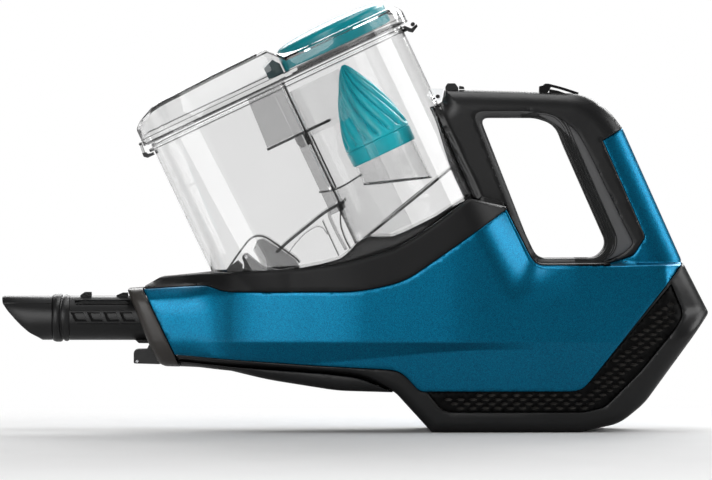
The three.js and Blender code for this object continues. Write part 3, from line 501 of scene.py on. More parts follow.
def fillet(corners, steps=5):
    """Profile through (a, b, radius) corners with each corner rounded."""
    points = []
    places = np.array([corner[:2] for corner in corners], float)
    for i, here in enumerate(places):
        radius = corners[i][2]
        start, end = corner_cut(places[i - 1], here, places[(i + 1) % len(places)], radius, 0.49)
        turns = steps + 1 if radius > 0 else 1
        points += [tuple(bend(start, here, end, k / steps)) for k in range(turns)]
    return points


def mirrored(half):
    """Closed ring of a half that starts and ends on the middle plane, and its mirror image."""
    flip = np.where(np.arange(half.shape[1]) == 1, -1, 1)
    return np.concatenate([half, half[1:-1][::-1] * flip])


def bin_plan(offset):
    """Plan outline of the bin grown by offset, mirrored point by point about the middle."""
    corner = BIN_FRONT_RADIUS + offset
    half = BIN_HALF + offset
    flat = BIN_HALF - BIN_FRONT_RADIUS
    points = [(-offset, y) for y in np.linspace(0.0, flat, 3)[:-1]]
    for angle in np.linspace(0, math.pi / 2, 26)[:-1]:
        points.append((
            BIN_FRONT_RADIUS - corner * math.cos(angle), flat + corner * math.sin(angle),
        ))
    for along in np.linspace(BIN_FRONT_RADIUS, CYCLONE_AT, 22)[:-1]:
        points.append((along, half))
    for angle in np.linspace(0, math.pi / 2, 32):
        points.append((CYCLONE_AT + half * math.sin(angle), half * math.cos(angle)))
    return mirrored(np.array(points))


def ribbon(path, thick):
    """Closed side outline of a strip of even thickness along a smooth path."""
    path = np.array(path, float)
    run = np.zeros(len(path))
    run[1:] = np.cumsum(np.linalg.norm(np.diff(path, axis=0), axis=1))
    fine = np.linspace(0, run[-1], max(12, int(run[-1] / 1.5)))
    line = np.stack([
        spline(list(zip(run, path[:, 0])), fine), spline(list(zip(run, path[:, 1])), fine),
    ], axis=1)
    ahead = np.gradient(line, axis=0)
    ahead /= np.linalg.norm(ahead, axis=1, keepdims=True)
    side = np.stack([-ahead[:, 1], ahead[:, 0]], axis=1) * thick / 2
    return np.concatenate([line + side, (line - side)[::-1]])


def plate(name, outline, half, material, body, *replaced, slot=None, middle=0.0):
    """Piece over an outline of (x, z) points, to half on both sides of its middle plane."""
    rings = [np.array([(x, y, z) for x, z in outline]) for y in (middle - half, middle + half)]
    solid(name, loft(rings), material, body, *replaced, slot=slot)


def bin_plate(name, outline, *rest, **more):
    """Plate over an outline of (along, height) points."""
    plate(name, [from_bin(along, height) for along, height in outline], *rest, **more)


# ---------- materials ----------


def feed(tree, node, inputs):
    """Links each input of a node to a socket, or sets it to a value."""
    for key, value in inputs.items():
        if isinstance(value, bpy.types.NodeSocket):
            tree.links.new(value, node.inputs[key])
        else:
            node.inputs[key].default_value = value


def add(tree, kind, inputs, **settings):
    """New node of a kind, with its settings and inputs."""
    node = tree.nodes.new("ShaderNode" + kind)
    for name, value in settings.items():
        setattr(node, name, value)
    feed(tree, node, inputs)
    return node


def mix_shaders(tree, share, first, second):
    return add(tree, "MixShader", {"Fac": share, 1: first, 2: second}).outputs["Shader"]


def new_material(name):
    """Material with a principled shader and object coordinates in metres."""
    material = bpy.data.materials.new(name)
    material.use_nodes = True
    tree = material.node_tree
    where = tree.nodes.new("ShaderNodeTexCoord").outputs["Object"]
    return material, tree, tree.nodes["Principled BSDF"], where


def noise(tree, where, size_mm, detail=2.0, stretch=None):
    """Noise whose features are about size_mm across."""
    if stretch:
        where = add(tree, "Mapping", {"Vector": where, "Scale": stretch}).outputs["Vector"]
    scale = 1.0 / (size_mm * MM)
    return add(tree, "TexNoise", {"Vector": where, "Scale": scale, "Detail": detail}).outputs["Fac"]


def ramp(tree, value, *stops):
    """Colour ramp with two (place, colour) stops."""
    node = add(tree, "ValToRGB", {"Fac": value})
    for element, (place, colour) in zip(node.color_ramp.elements, stops):
        element.position = place
        element.color = (*colour, 1.0)
    return node.outputs["Color"]


def shade(colour, factor):
    return tuple(min(1.0, c * factor) for c in colour)


def bump(tree, value, depth_mm, strength=1.0):
    inputs = {"Height": value, "Distance": depth_mm * MM, "Strength": strength}
    return add(tree, "Bump", inputs).outputs["Normal"]


def plastic(name, colour, roughness, grain_mm=0.35, grain_depth=0.012, coat=0.0, shine=0.5):
    """Moulded plastic: fine moulded grain, faint cloudiness, slightly uneven gloss."""
    material, tree, shader, where = new_material(name)
    cloud = noise(tree, where, 14.0, 3.0)
    smear = noise(tree, where, 30.0, 4.0)
    grain = noise(tree, where, grain_mm, 1.0)
    feed(tree, shader, {
        "Base Color": ramp(tree, cloud, (0.3, shade(colour, 0.94)), (0.7, shade(colour, 1.06))),
        "Roughness": ramp(tree, smear, (0.25, (roughness * 0.9,) * 3), (0.75, (roughness * 1.1,) * 3)),
        "Normal": bump(tree, grain, grain_depth),
        "Specular IOR Level": shine, "Coat Weight": coat, "Coat Roughness": 0.12,
    })
    return material


def metallic_paint(name, dark, light):
    """Sparkling metallic finish under a thin clear layer."""
    material, tree, shader, where = new_material(name)
    flakes = add(tree, "TexVoronoi", {"Vector": where, "Scale": 1.0 / (0.3 * MM)})
    cell = add(tree, "SeparateColor", {"Color": flakes.outputs["Color"]})
    feed(tree, shader, {
        "Base Color": ramp(tree, cell.outputs["Red"], (0.15, dark), (0.95, light)),
        "Metallic": 0.92, "Roughness": 0.4,
        "Normal": bump(tree, cell.outputs["Green"], 0.02, 0.45),
        "Coat Weight": 0.18, "Coat Roughness": 0.2,
    })
    return material


def clear_plastic(name, tint=(0.93, 0.95, 0.96), roughness=0.03, ior=1.46):
    """Clear moulded plastic with faint flow marks. Lamps shine through it."""
    material, tree, shader, where = new_material(name)
    haze = noise(tree, where, 40.0)
    flow = noise(tree, where, 9.0, 1.0, stretch=(1.0, 1.0, 0.25))
    feed(tree, shader, {
        "Transmission Weight": 1.0, "IOR": ior, "Roughness": roughness,
        "Base Color": ramp(tree, haze, (0.3, shade(tint, 0.985)), (0.7, tint)),
        "Normal": bump(tree, flow, 0.02, 0.12),
    })
    passing = add(tree, "BsdfTransparent", {"Color": (*tint, 1.0)}).outputs["BSDF"]
    to_lamp = add(tree, "LightPath", {}).outputs["Is Shadow Ray"]
    surface = mix_shaders(tree, to_lamp, shader.outputs["BSDF"], passing)
    feed(tree, tree.nodes["Material Output"], {"Surface": surface})
    return material


def metal(name, colour, roughness):
    """Turned or drawn metal with fine lines."""
    material, tree, shader, where = new_material(name)
    lines = noise(tree, where, 0.5, stretch=(0.06, 1.0, 1.0))
    feed(tree, shader, {
        "Base Color": ramp(tree, lines, (0.3, shade(colour, 0.86)), (0.7, shade(colour, 1.06))),
        "Metallic": 1.0, "Roughness": roughness, "Normal": bump(tree, lines, 0.01),
    })
    return material


BLACK = plastic("black_housing", (0.006, 0.006, 0.0064), 0.38)
DARK = plastic("dark_housing", (0.006, 0.006, 0.0065), 0.48)
WARM_GREY = plastic("warm_grey_housing", (0.046, 0.041, 0.037), 0.38)
SOFT_GRIP = plastic("soft_grip", (0.118, 0.118, 0.12), 0.62, grain_mm=0.9, grain_depth=0.09)
GRIP_DARK = plastic("grip_dark", (0.024, 0.024, 0.024), 0.52, grain_mm=0.9, grain_depth=0.09)
RUBBER = plastic("seal_rubber", (0.015, 0.015, 0.015), 0.62)
BLUE = metallic_paint("blue_metallic", (0.0, 0.108, 0.214), (0.0, 0.24, 0.436))
TURQUOISE = plastic("turquoise", (0.0, 0.45, 0.53), 0.3, coat=0.12)
TEAL = plastic("teal", (0.0, 0.29, 0.34), 0.3, coat=0.08)
DEEP_GREEN = plastic("deep_green", (0.0, 0.03, 0.035), 0.3)
CLEAR = clear_plastic("clear_bin")
CLEAR_WALL = clear_plastic("clear_wall", (0.915, 0.915, 0.915), 0.02)
CLEAR_INNER = clear_plastic("clear_inner", (0.90, 0.90, 0.90), 0.04, ior=1.25)
LID_CLEAR = clear_plastic("clear_lid", (0.86, 0.86, 0.86), 0.03)
SMOKE = clear_plastic("smoked_clear", (0.56, 0.56, 0.56), 0.06)
DARK_CLEAR = clear_plastic("dark_clear", (0.10, 0.10, 0.10), 0.1)
GLOSS_BLACK = plastic("gloss_black", (0.004, 0.004, 0.004), 0.14, coat=0.5)
# Grey for the black liner round the handle's loop: painted highlight of the light its rounded edge catches.
LINER_HIGHLIGHT_GREY = plastic("liner_grey_painted_highlight", (0.07, 0.07, 0.071), 0.42)
DECK_BLACK = plastic("deck_black", (0.0075, 0.0075, 0.008), 0.5, shine=0.3)
# Near-black and hardly shiny: the grille's own black, also used for the painted shadow in the tool's windows.
GRILLE_AND_SHADOW_BLACK = plastic("grille_and_painted_shadow_black", (0.0015, 0.0015, 0.0015), 0.5, shine=0.12)
FOAM = plastic("liner_foam", (0.16, 0.15, 0.14), 0.9, grain_mm=0.7, grain_depth=0.3)
STEEL = metal("steel", (0.62, 0.62, 0.64), 0.25)
ALUMINIUM = metal("aluminium", (0.72, 0.73, 0.75), 0.35)
CELL_WRAP = plastic("cell_wrap", (0.02, 0.10, 0.05), 0.3)
CIRCUIT_BOARD = plastic("circuit_board", (0.01, 0.12, 0.05), 0.4)
FLEECE = plastic("filter_fleece", (0.55, 0.55, 0.53), 0.9, grain_mm=1.2, grain_depth=0.2)

# Looks by material slot. The first look of a slot is also the finish of the CAD solids in it.
LOOKS = {
    "clear_seal": [CLEAR_INNER],
    "clear_plastic": [CLEAR, CLEAR_WALL, CLEAR_INNER, LID_CLEAR, SMOKE, DARK_CLEAR],
    "black_plastic": [BLACK, GLOSS_BLACK, DECK_BLACK, GRILLE_AND_SHADOW_BLACK, LINER_HIGHLIGHT_GREY],
    "dark_plastic": [DARK, FOAM], "grey_plastic": [WARM_GREY], "blue_paint": [BLUE],
    "turquoise_plastic": [TURQUOISE, TEAL, DEEP_GREEN], "soft_grip": [SOFT_GRIP, GRIP_DARK],
    "seal_rubber": [RUBBER], "steel": [STEEL], "motor_metal": [ALUMINIUM], "cell_wrap": [CELL_WRAP],
    "circuit_board": [CIRCUIT_BOARD], "filter_fleece": [FLEECE],
}

# ---------- housing outlines ----------

DECK_SEAM = [
    (-216, 102, 4), (-207, 98.6, 6), (-199, 97.8), (-109.6, 98.4, 14), (-79, 105.5, 12),
    (-55, 122.1), (-8.2, 155.0),
]
RIM_SEAM = [(9, 121, 6), (14, 116.2, 5), (62, 116.6, 6), (80.5, 122.5, 4), (88.8, 135.6, 2)]
SPINE_TOP = [(59, 202.7), (73.1, 211.5)]
FOOT = [
    (50.4, 36.3, 10), (43, 28.7, 8), (-68.6, 28.7, 4), (-80, 41.5, 8), (-88, 44, 8),
    (-135.3, 46.4), (-199.6, 50.5), (-230, 53),
]
DECK_TOP = [
    (-8.6, 156.9), (-34, 162.9, 3), (-71, 136.5, 8), (-87.2, 127.6), (-103.2, 122.4, 8),
    (-122.5, 118), (-151.4, 114.2), (-183.5, 112.4), (-215.7, 110.6, 3), (-248.6, 107.7, 3),
    (-260.5, 100.6),
]


def shifted(points, dx, dz):
    return [(p[0] + dx, p[1] + dz, *p[2:]) for p in points]


BLUE_OUTLINE = [
    (-238.9, 53.6), (-260.9, 99.2), *shifted(DECK_SEAM, 0, -GAP), *shifted(RIM_SEAM[:4], 0, -GAP),
    (89.1, 135.3, 2), (59.3, 202.7), (73.4, 211.2), "edge", (115.2, 118, 3), "seam", *FOOT,
]
COLLAR_OUTLINE = [
    "edge", (-272.4, 99.2, 2), (-261.5, 100), "seam", (-261.5, 99.2), (-239.5, 53.6),
    (-235.8, 44.9), "edge", (-245.7, 45.1, 2), (-249.9, 47.2, 2), (-256.3, 59, 3),
]
DECK_OUTLINE = [
    (-261, 99.6), *DECK_SEAM, DECK_TOP[0], "edge", *DECK_TOP[1:-1], "seam", DECK_TOP[-1],
]
FRAME_OUTLINE = [
    (115.2, 117.4), (50.7, 36, 10), (43.3, 28.4, 8), *shifted(FOOT[2:], 0, -GAP),
    (-238.6, 53.2), (-237.2, 49.2), "edge", (-200, 45.6), (-135, 41.2), (-110, 38.7, 8),
    (-85.5, 28, 3), (-60, 0), (43.5, 0, 2), (71.3, 6.2, 8), (88.1, 20.2, 6), (133.3, 82.6, 2),
]
GRILLE_HOLE = [
    (-63.8, 28.4), (-54, 15.8, 5), (-47, 14), (46, 13.9, 4), (60.2, 17.4, 4), (85.3, 42.5, 8),
    (110.3, 73.2, 5), (115.4, 82.5, 5), (106.4, 103.5), (50.4, 37.3, 10), (43, 29.7, 8),
]
BELLY_OUTLINE = [
    (-237, 48.8), (-200, 45.3), (-135, 40.9), (-110.6, 38.2, 8), (-87.2, 28), "edge",
    (-125.7, 29.1, 8), (-173.9, 36.5, 10), (-199.6, 42.4), (-222, 44.6), (-235.4, 45),
]
HANDLE_OUTLINE = [
    (-30.8, 163.0), (-8.6, 157.2), *RIM_SEAM, *SPINE_TOP, "edge", (64.2, 223.4, 7), (52.3, 232, 6),
    (41.9, 235.3, 5), (2.1, 237), (-50.8, 238.3, 1.5), (-52.6, 229.6), "seam", (-58.4, 226.4, 3),
]
POST_LINER_OUTLINE = [
    (-37.3, 163.9), (-27.0, 162.0), (-48.5, 214.0), (-53.5, 227.5), (-60.5, 226.6, 2), (-57, 219.3),
    (-50.6, 197), (-46.2, 183.2),
]
HANDLE_HOLE = [
    (73.0, 123.6, 5), (80.8, 130.6, 2.5), (49.6, 194.4, 6), (41.6, 208.7, 5), (28.8, 219.1, 6),
    (16.1, 222.7, 4), (3.4, 223.3), (-31.6, 223.2, 8), (8.6, 118.0, 7), (62, 118.0, 4),
]
LOOP_LINER_OUTLINE = [
    (3.2, 218.3), (3.2, 220.4), (14, 220.2), (14, 224.6), (-33.5, 224.4, 8), (7.9, 116.7, 7),
    (58, 116.7, 3), (60, 120.6, 1), "edge", (12.3, 120.6, 6), (-26, 218.3, 6),
]
GRIP_BACK_OUTLINE = [
    (60, 118.2), (74.5, 124.0, 6), (81.1, 130.7, 3), (50.1, 194.6, 6), (42.1, 209.0, 5),
    (29.2, 219.5, 6), (16.4, 223.6, 4), (8.0, 223.9), (16.1, 219.6, 4), (25.2, 215.2, 4),
    (31.5, 210.4, 4), (39.6, 200.5, 4), (53.6, 168.7), (68.6, 135.5, 5), (65, 126, 4),
]

# ---------- housing ----------

SEAT_GAP = 0.4
DECK_WALL = 1.6


def deck_width(x, z):
    """The deck hugs the bin where the body is narrower than the bin."""
    own = half_width(x, z)
    along, _ = in_bin(x, z)
    around = bin_half_at(along, SEAT_GAP) + DECK_WALL
    return np.maximum(own, np.where(around > 2, around, 0))


def bin_wall(x, z):
    """Half width of the bin's seat, or the middle plane where the bin isn't."""
    along, _ = in_bin(x, z)
    return np.maximum(bin_half_at(along, SEAT_GAP), MIDDLE)


def collar_bore(x, z):
    """Half width of the round hole for the crevice tool, or the middle plane off the hole."""
    up = z - TOOL_HEIGHT
    round_hole = np.sqrt(np.clip(COLLAR_BORE ** 2 - up ** 2, 0.02, None))
    return np.where(np.abs(up) < 20, round_hole, MIDDLE)


WAIST_LINE = [(-213, WAIST), (20, WAIST), (78, WAIST)]
POST_LINE = [(-10.6, 155.0), (5.2, 120.6), (8.2, 116.2), (13.2, 113.8), (90, 113.8)]
BACK_LINE = [(84, 116.6), (118, 116.6)]
LIP_LINE = [(x, float(lip_line(x))) for x in (-262, -240, -216, -207, -200)]
BAND_FOOT = [(x, WAIST - float(spline(WAIST_BAND, x))) for x in (-213, -195, -150, -105, -60, -12, 70)]

skin_panel(
    "blue_shell", BLUE_OUTLINE, BLUE, "body_shell_left", "body_shell_right",
    lines=[WAIST_LINE, BAND_FOOT, LIP_LINE, POST_LINE, BACK_LINE], edge_radius=12.0, reach=1.9,
    depth=lambda x, z: np.where(from_post(x, z) < 6, 21.0, 3.0),
)
skin_panel(
    "collar", COLLAR_OUTLINE, WARM_GREY, "inlet_collar", edge_radius=5.0,
    edge_target=collar_bore,
)
skin_panel(
    "cradle_side", DECK_OUTLINE, DECK_BLACK, "cradle_deck", edge_radius=2.6,
    width=deck_width, edge_target=bin_wall,
)
skin_panel(
    "lower_frame_side", FRAME_OUTLINE, BLACK, "lower_frame",
    holes=[GRILLE_HOLE], edge_radius=7.0,
)
skin_panel(
    "belly", BELLY_OUTLINE, DARK, "belly_cover", edge_radius=7.0,
)
skin_panel(
    "handle", HANDLE_OUTLINE, BLACK, "handle_left", "handle_right",
    holes=[HANDLE_HOLE], edge_radius=10.0, reach=1.4, width=handle_width, seam_radius=0.5,
)
skin_panel(
    "post_liner", POST_LINER_OUTLINE, GLOSS_BLACK, inset=2.0, depth=5.0,
    width=handle_width,
)
skin_panel(
    "grip_back", GRIP_BACK_OUTLINE, SOFT_GRIP, inset=0.7, width=handle_width,
)
# The loop liner's grey is a painted highlight along the loop's rounded inner edge.
skin_panel(
    "loop_liner", LOOP_LINER_OUTLINE, LINER_HIGHLIGHT_GREY, edge_radius=5.0, inset=0.7,
    width=handle_width,
)
SEAM_BACK_OUTLINE = [
    (-30, 156), (-12, 150), (5, 117, 6), (12, 112, 5), (64, 112.6, 6), (86, 119, 4),
    (93.6, 135.6, 4), (64.4, 202), (55, 203), (83, 136, 3), (76, 125.5, 3), (61, 120.5, 4),
    (17, 120.2, 5), (12, 124, 5), (-4, 158), (-25, 164),
]
skin_panel(
    "seam_backing", SEAM_BACK_OUTLINE, BLACK, inset=3.3, depth=2.0, grid=3.5,
    width=lambda x, z: np.minimum(half_width(x, z), HANDLE_HALF + 6),
)

# ---------- grilles ----------

GRILLE_OUTLINE = [
    (-63.1, 28.1), (-53.6, 16.2, 5), (-46.8, 14.4), (45.9, 14.3, 4), (59.9, 17.8, 4),
    (84.9, 42.9, 8), (109.9, 73.4, 5), (114.9, 82.5, 5), (106.3, 103), (50.6, 36.6, 10),
    (43.2, 29.1, 8),
]
GRILLE_SINK = 1.4
GRILLE_CORNER = (-66, 17.2)
GRILLE_ROWS, GRILLE_COLUMNS = 34, 24
TIP_MARGIN, CENTRE_MARGIN = 1.1, 2.2
SLOT_PITCH = 8.6
ROW_PITCH = 3.0
SLOT = [(-3.2, 0), (-1.1, 1.05), (1.1, 1.05), (3.2, 0), (1.1, -1.05), (-1.1, -1.05)]


def grille_slots(outline):
    """Staggered pointed slots over the whole grille, clear of its border."""
    border, _ = trace(outline, 1.0)
    ends = np.roll(border, -1, axis=0)
    slots = []
    for row, column in np.ndindex(GRILLE_ROWS, GRILLE_COLUMNS):
        x = GRILLE_CORNER[0] + SLOT_PITCH * (column + 0.5 * (row % 2))
        slot = shifted(SLOT, x, GRILLE_CORNER[1] + ROW_PITCH * row)
        tips = np.array([slot[0], slot[3]])
        centre = tips.mean(axis=0, keepdims=True)
        if inside(np.concatenate([centre, tips]), border).all():
            tip_room = distance_to(tips, border, ends).min()
            if tip_room > TIP_MARGIN and distance_to(centre, border, ends)[0] > CENTRE_MARGIN:
                slots.append(slot)
    return slots


skin_panel(
    "grille", GRILLE_OUTLINE, GRILLE_AND_SHADOW_BLACK, "grille_left", "grille_right", slot="dark_plastic",
    holes=grille_slots(GRILLE_OUTLINE), inset=GRILLE_SINK, depth=2.2, seam_radius=0.45, grid=3.0,
    step=4.0,
)
LINER_OUTLINE = [
    (-66, 31), (-55, 14.2, 5), (-47, 12.4), (46, 12.3, 4), (61, 15.6, 4), (86.5, 41.4, 8),
    (111.5, 72, 5), (117, 82.5, 5), (108, 106), (49, 38.6, 10), (42, 31.1, 8),
]
skin_panel(
    "grille_liner", LINER_OUTLINE, FOAM, inset=GRILLE_SINK + 4.2, depth=2.0,
    grid=6.0, step=5.0,
)

# ---------- dark strip on the ledge round the loop's foot ----------


def open_path(corners, closing, step):
    """Points of an open path of corners, and the directions to its left.

    closing holds the corners that would lead back to the start; they are cut off again.
    """
    points, _ = trace([*corners, *closing], step)
    last = int(np.argmin(np.hypot(points[:, 0] - corners[-1][0], points[:, 1] - corners[-1][1])))
    path = points[:last + 1]
    run = np.gradient(path, axis=0)
    run /= np.linalg.norm(run, axis=1, keepdims=True)
    return path, np.stack([-run[:, 1], run[:, 0]], axis=1)


STRIP_EDGE = [(-8.0, 155.4), (9.3, 121.1, 6), (14.2, 116.5, 5), (64.0, 116.9)]
STRIP_FOOT = 16.4
STRIP_THICK = 0.9

strip_path, strip_left = open_path(STRIP_EDGE, [(64, 140), (0, 170)], 2.0)
strip_out = -strip_left
strip_edge = strip_path + strip_out * 1.2
strip_top = np.maximum(half_width(*strip_edge.T) - 0.9, STRIP_FOOT + 0.1)
for side, end in SIDES:
    rings = []
    for place, out, top in zip(strip_path, strip_out * STRIP_THICK / 2, strip_top):
        first, second = place + out, place - out
        corners = ((first, STRIP_FOOT), (second, STRIP_FOOT), (second, top), (first, top))
        rings.append(np.array([(at[0], side * wide, at[1]) for at, wide in corners]))
    solid("ledge_strip" + end, loft(rings), GRILLE_AND_SHADOW_BLACK, "body")

# ---------- grip ----------

GRIP_EDGE = [
    (2.6, 218.3), (13, 218.3, 9), (26.4, 213.2, 8), (31.6, 199.7, 6), (62.6, 129.6, 7),
    (54.5, 120.6, 5), (40, 120.6),
]
GRIP_WIDE = 8.6
RIDGES = 5
RIDGE_HEIGHT = 0.46
GRIP_SINK = 0.5
GRIP_ROUND = 8.0
GRIP_THICK = 3.0


def grip_rings(side):
    """Ridged band along the hole's edge, narrowing where it sweeps into the foot of the loop."""
    path, left = open_path(GRIP_EDGE, [(40, 110), (2.6, 110)], 1.2)
    done = np.concatenate([[0], np.cumsum(np.linalg.norm(np.diff(path, axis=0), axis=1))])
    steps = np.linspace(0, 1, 49)
    waves = RIDGE_HEIGHT * np.cos(steps * RIDGES * 2 * np.pi)
    rings = []
    for place, across, gone in zip(path, left, done):
        share = 0.22 + 0.78 * smooth_step(done[-1] - gone, 4, 30)
        share *= 0.3 + 0.7 * smooth_step(gone, 0, 22)
        over = GRIP_WIDE * share * steps
        half = HANDLE_HALF - GRIP_SINK - rounding(over, GRIP_ROUND * share) + waves * share
        inner = np.maximum(half - GRIP_THICK, MIDDLE)
        x, z = (place + np.outer(over, across)).T
        outer_row = np.stack([x, side * half, z], axis=1)
        inner_row = np.stack([x, side * inner, z], axis=1)[::-1]
        inner_row[-1, 1] = side * MIDDLE
        rings.append(np.concatenate([outer_row, inner_row]))
    return rings


for side, end in SIDES:
    replaced = ["grip_insert"] if side < 0 else []
    solid("grip_front" + end, loft(grip_rings(side)), GRIP_DARK, "body", *replaced)

# ---------- dust bin ----------

FLOOR_LINE = [(-20, 0), (0, -8), (28, -21.4), (58, -33.4), (86, -42.4), (108, -46), (260, -46)]
WALL = 1.1
BIN_TOP = 96.6


def along_line(line, along):
    """Height of a line of (along, height) points."""
    return np.interp(along, [p[0] for p in line], [p[1] for p in line])


def floor_at(along):
    return along_line(FLOOR_LINE, along)


def plan_ring(offset, height, front=-math.inf):
    """Ring of the bin's plan grown by offset, at a height or at height(along), cut off at front."""
    plan = bin_plan(offset)
    along = np.maximum(plan[:, 0], front)
    high = height(along) if callable(height) else np.full(len(plan), float(height))
    return put(along, plan[:, 1], high)


def across_faces(count, first):
    """Strip of faces that closes a plan ring by joining its mirrored points."""
    half = count // 2
    faces = []
    for i in range(half):
        a, b = i, i + 1
        c, d = (count - b) % count, (count - a) % count
        corners = [a, b, c, d]
        faces.append([first + k for n, k in enumerate(corners) if k not in corners[:n]])
    return faces


def plan_vessel(profile, front=-math.inf):
    """Form lofted through plan rings of a profile, closed across its first and its last ring."""
    rings = [plan_ring(offset, height, front) for offset, height in profile]
    points, faces = loft(rings, ends=False)
    count = len(rings[0])
    faces += across_faces(count, 0) + across_faces(count, (len(rings) - 1) * count)
    return points, faces


SHELL_PROFILE = [
    (0.0, floor_at), (0.0, 88.0), (0.0, 91.4), (3.2, 91.6), (3.2, 93.8), (0.2, 94.0), (0.0, BIN_TOP),
    (-WALL, BIN_TOP), (-WALL, 90.0), (-WALL, lambda along: floor_at(along) + WALL),
]
solid("bin_wall", plan_vessel(SHELL_PROFILE), CLEAR_WALL, "bin", "bin_shell")

# ---------- seat of the bin ----------

cup_rings = [plan_ring(1.6, lambda along, drop=drop: floor_at(along) - drop) for drop in (4.6, 2.6)]
solid("cradle_cup", loft(cup_rings), BLACK, "body")
POST_FACE = [(-36.6, 163.8), (-59.4, 225.6), (-55.6, 226.4), (-32.0, 164.2)]
plate("post_face", POST_FACE, 20.0, BLACK, "body")

# ---------- lid ----------

CAP_AT = CYCLONE_AT + 2.5
CAP_RADIUS = 41.0
LID_OVERHANG = 5.2
LID_BASE = 97.2
LID_WALL = 2.2
LID_CROWN = [
    (-5.2, 110.2), (0, 114.2), (12, 119.2), (20, 120.2), (60, 121.6), (101, 122.2), (103, 121.0),
    (109, 111.6), (190, 111.4), (194, 110.6), (198, 106.5),
]


def crown_at(along):
    return along_line(LID_CROWN, along)


def lid_hole(plan):
    """Inner border of the lid's top: the middle line in front, then round the cap."""
    half = len(plan) // 2
    along = plan[:half + 1, 0]
    radius = CAP_RADIUS + GAP
    front = CAP_AT - radius
    first = int(np.argmax(along > front))
    points = [(min(place, front), 0.0) for place in along[:first + 1]]
    for angle in np.linspace(math.pi, 0, half - first + 1)[1:]:
        points.append((CAP_AT + radius * math.cos(angle), radius * math.sin(angle)))
    return mirrored(np.array(points))


outer_plan = bin_plan(LID_OVERHANG)
hole_plan = lid_hole(outer_plan)
rings = [
    plan_ring(LID_OVERHANG, LID_BASE), plan_ring(LID_OVERHANG, lambda u: crown_at(u) - 1.6),
    plan_ring(LID_OVERHANG - 0.5, lambda u: crown_at(u) - 0.5),
    plan_ring(LID_OVERHANG - 1.6, crown_at),
    *(put(*hole_plan.T, crown_at(hole_plan[:, 0]) - drop) for drop in (0, LID_WALL)),
    plan_ring(LID_OVERHANG - LID_WALL - 1.0, lambda u: crown_at(u) - LID_WALL),
    plan_ring(LID_OVERHANG - LID_WALL, lambda u: crown_at(u) - LID_WALL - 1.0),
    plan_ring(LID_OVERHANG - LID_WALL, LID_BASE),
]
lid_points, lid_faces = loft(rings, closed=True)
inner_top = 4 * len(outer_plan)
kept = []
for face in lid_faces:
    on_hole_wall = min(face) >= inner_top and max(face) < inner_top + 2 * len(outer_plan)
    if not on_hole_wall or max(abs(lid_points[k][1]) for k in face) > 1e-6:
        kept.append(face)
solid("lid", (lid_points, kept), LID_CLEAR, "lid", "lid_cover")

cap_profile = fillet([
    (3, 121.4, 0), (24, 120.7, 8), (37.5, 118.6, 4), (CAP_RADIUS, 116.2, 2), (CAP_RADIUS, 101.5, 0.6),
    (CAP_RADIUS - 2.2, 101.5, 0.6), (CAP_RADIUS - 2.2, 114.0, 2), (30, 117.4, 4), (3, 118.8, 0),
])
cap = loft([round_ring(CAP_AT, radius, height) for radius, height in cap_profile])
solid("cap", cap, TEAL, "lid", "cyclone_cap")

CATCH = [(93.6, 101.4), (105.0, 100.6), (105.0, 108.8), (99, 109.8), (93.6, 108.0)]
bin_plate("lid_catch", CATCH, 9.0, DEEP_GREEN, "lid")
seal_profile = [(2.9, 96.9), (2.9, 98.1), (-WALL, 98.1), (-WALL, 96.9)]
seal_form = loft([plan_ring(offset, height) for offset, height in seal_profile], closed=True)
solid("lid_seal", seal_form, SMOKE, "lid", "lid_gasket", slot="clear_seal")

HINGE_HOOK = [
    (193.2, 95.6), (195.2, 95.4), (198.6, 91.8), (203.2, 93.0), (203.2, 91.2), (198.4, 88.8),
    (196.2, 90.4),
]
bin_plate("hinge_hook", HINGE_HOOK, 13.8, BLACK, "bin", "hinge_bracket")
LATCH_HALF = 8
latch_line = ribbon([(-6.6, 100.8), (-7.2, 97.0), (-7.6, 93.2)], 1.6)
bin_plate("latch_plate", latch_line, LATCH_HALF, SMOKE, "latch", "lid_latch", slot="black_plastic")
LATCH_HOOK = [
    (-8.6, 93.4), (-6.2, 93.0), (-5.4, 91.4), (-3.2, 90.8), (-1.4, 90.9), (-1.4, 88.8), (-6.4, 88.8),
    (-8.6, 90.6),
]
bin_plate("latch_hook", LATCH_HOOK, LATCH_HALF, BLACK, "latch")

# ---------- rim beads of the bin and the lid ----------

RIM_BEADS = (
    ("bin_bead_low", "bin", 0.1, 92.4, 0.45), ("bin_bead_high", "bin", 0.1, 95.2, 0.45),
    ("lid_bead_low", "lid", LID_OVERHANG - 0.2, LID_BASE + 0.9, 0.6),
    ("lid_bead_high", "lid", LID_OVERHANG - 0.2, LID_BASE + 4.4, 0.45),
)
for name, body, offset, height, thick in RIM_BEADS:
    corners = ((0, -0.5), (1, -0.5), (1, 0.5), (0, 0.5))
    rings = [plan_ring(offset + out * thick, height + up * thick) for out, up in corners]
    solid(name, loft(rings, closed=True), DARK_CLEAR, body)

crest = [(along, float(crown_at(along)) - 0.1) for along in np.linspace(9, 93, 22)]
bin_plate("lid_crest", ribbon(crest, 0.9), 1.6, DARK_CLEAR, "lid")

# ---------- inside the bin ----------

WINDOW_FROM_ANGLE, WINDOW_TO_ANGLE = 206, 257
SCREEN_ANGLES = np.concatenate([
    np.linspace(95, 203, 40), np.linspace(WINDOW_FROM_ANGLE, WINDOW_TO_ANGLE, 18), [261, 265],
])
SCREEN_LEVELS = (-32.0, 14.0, 54.0, 88.0)
SCREEN_OUTER, SCREEN_INNER = 45.9, 44.7


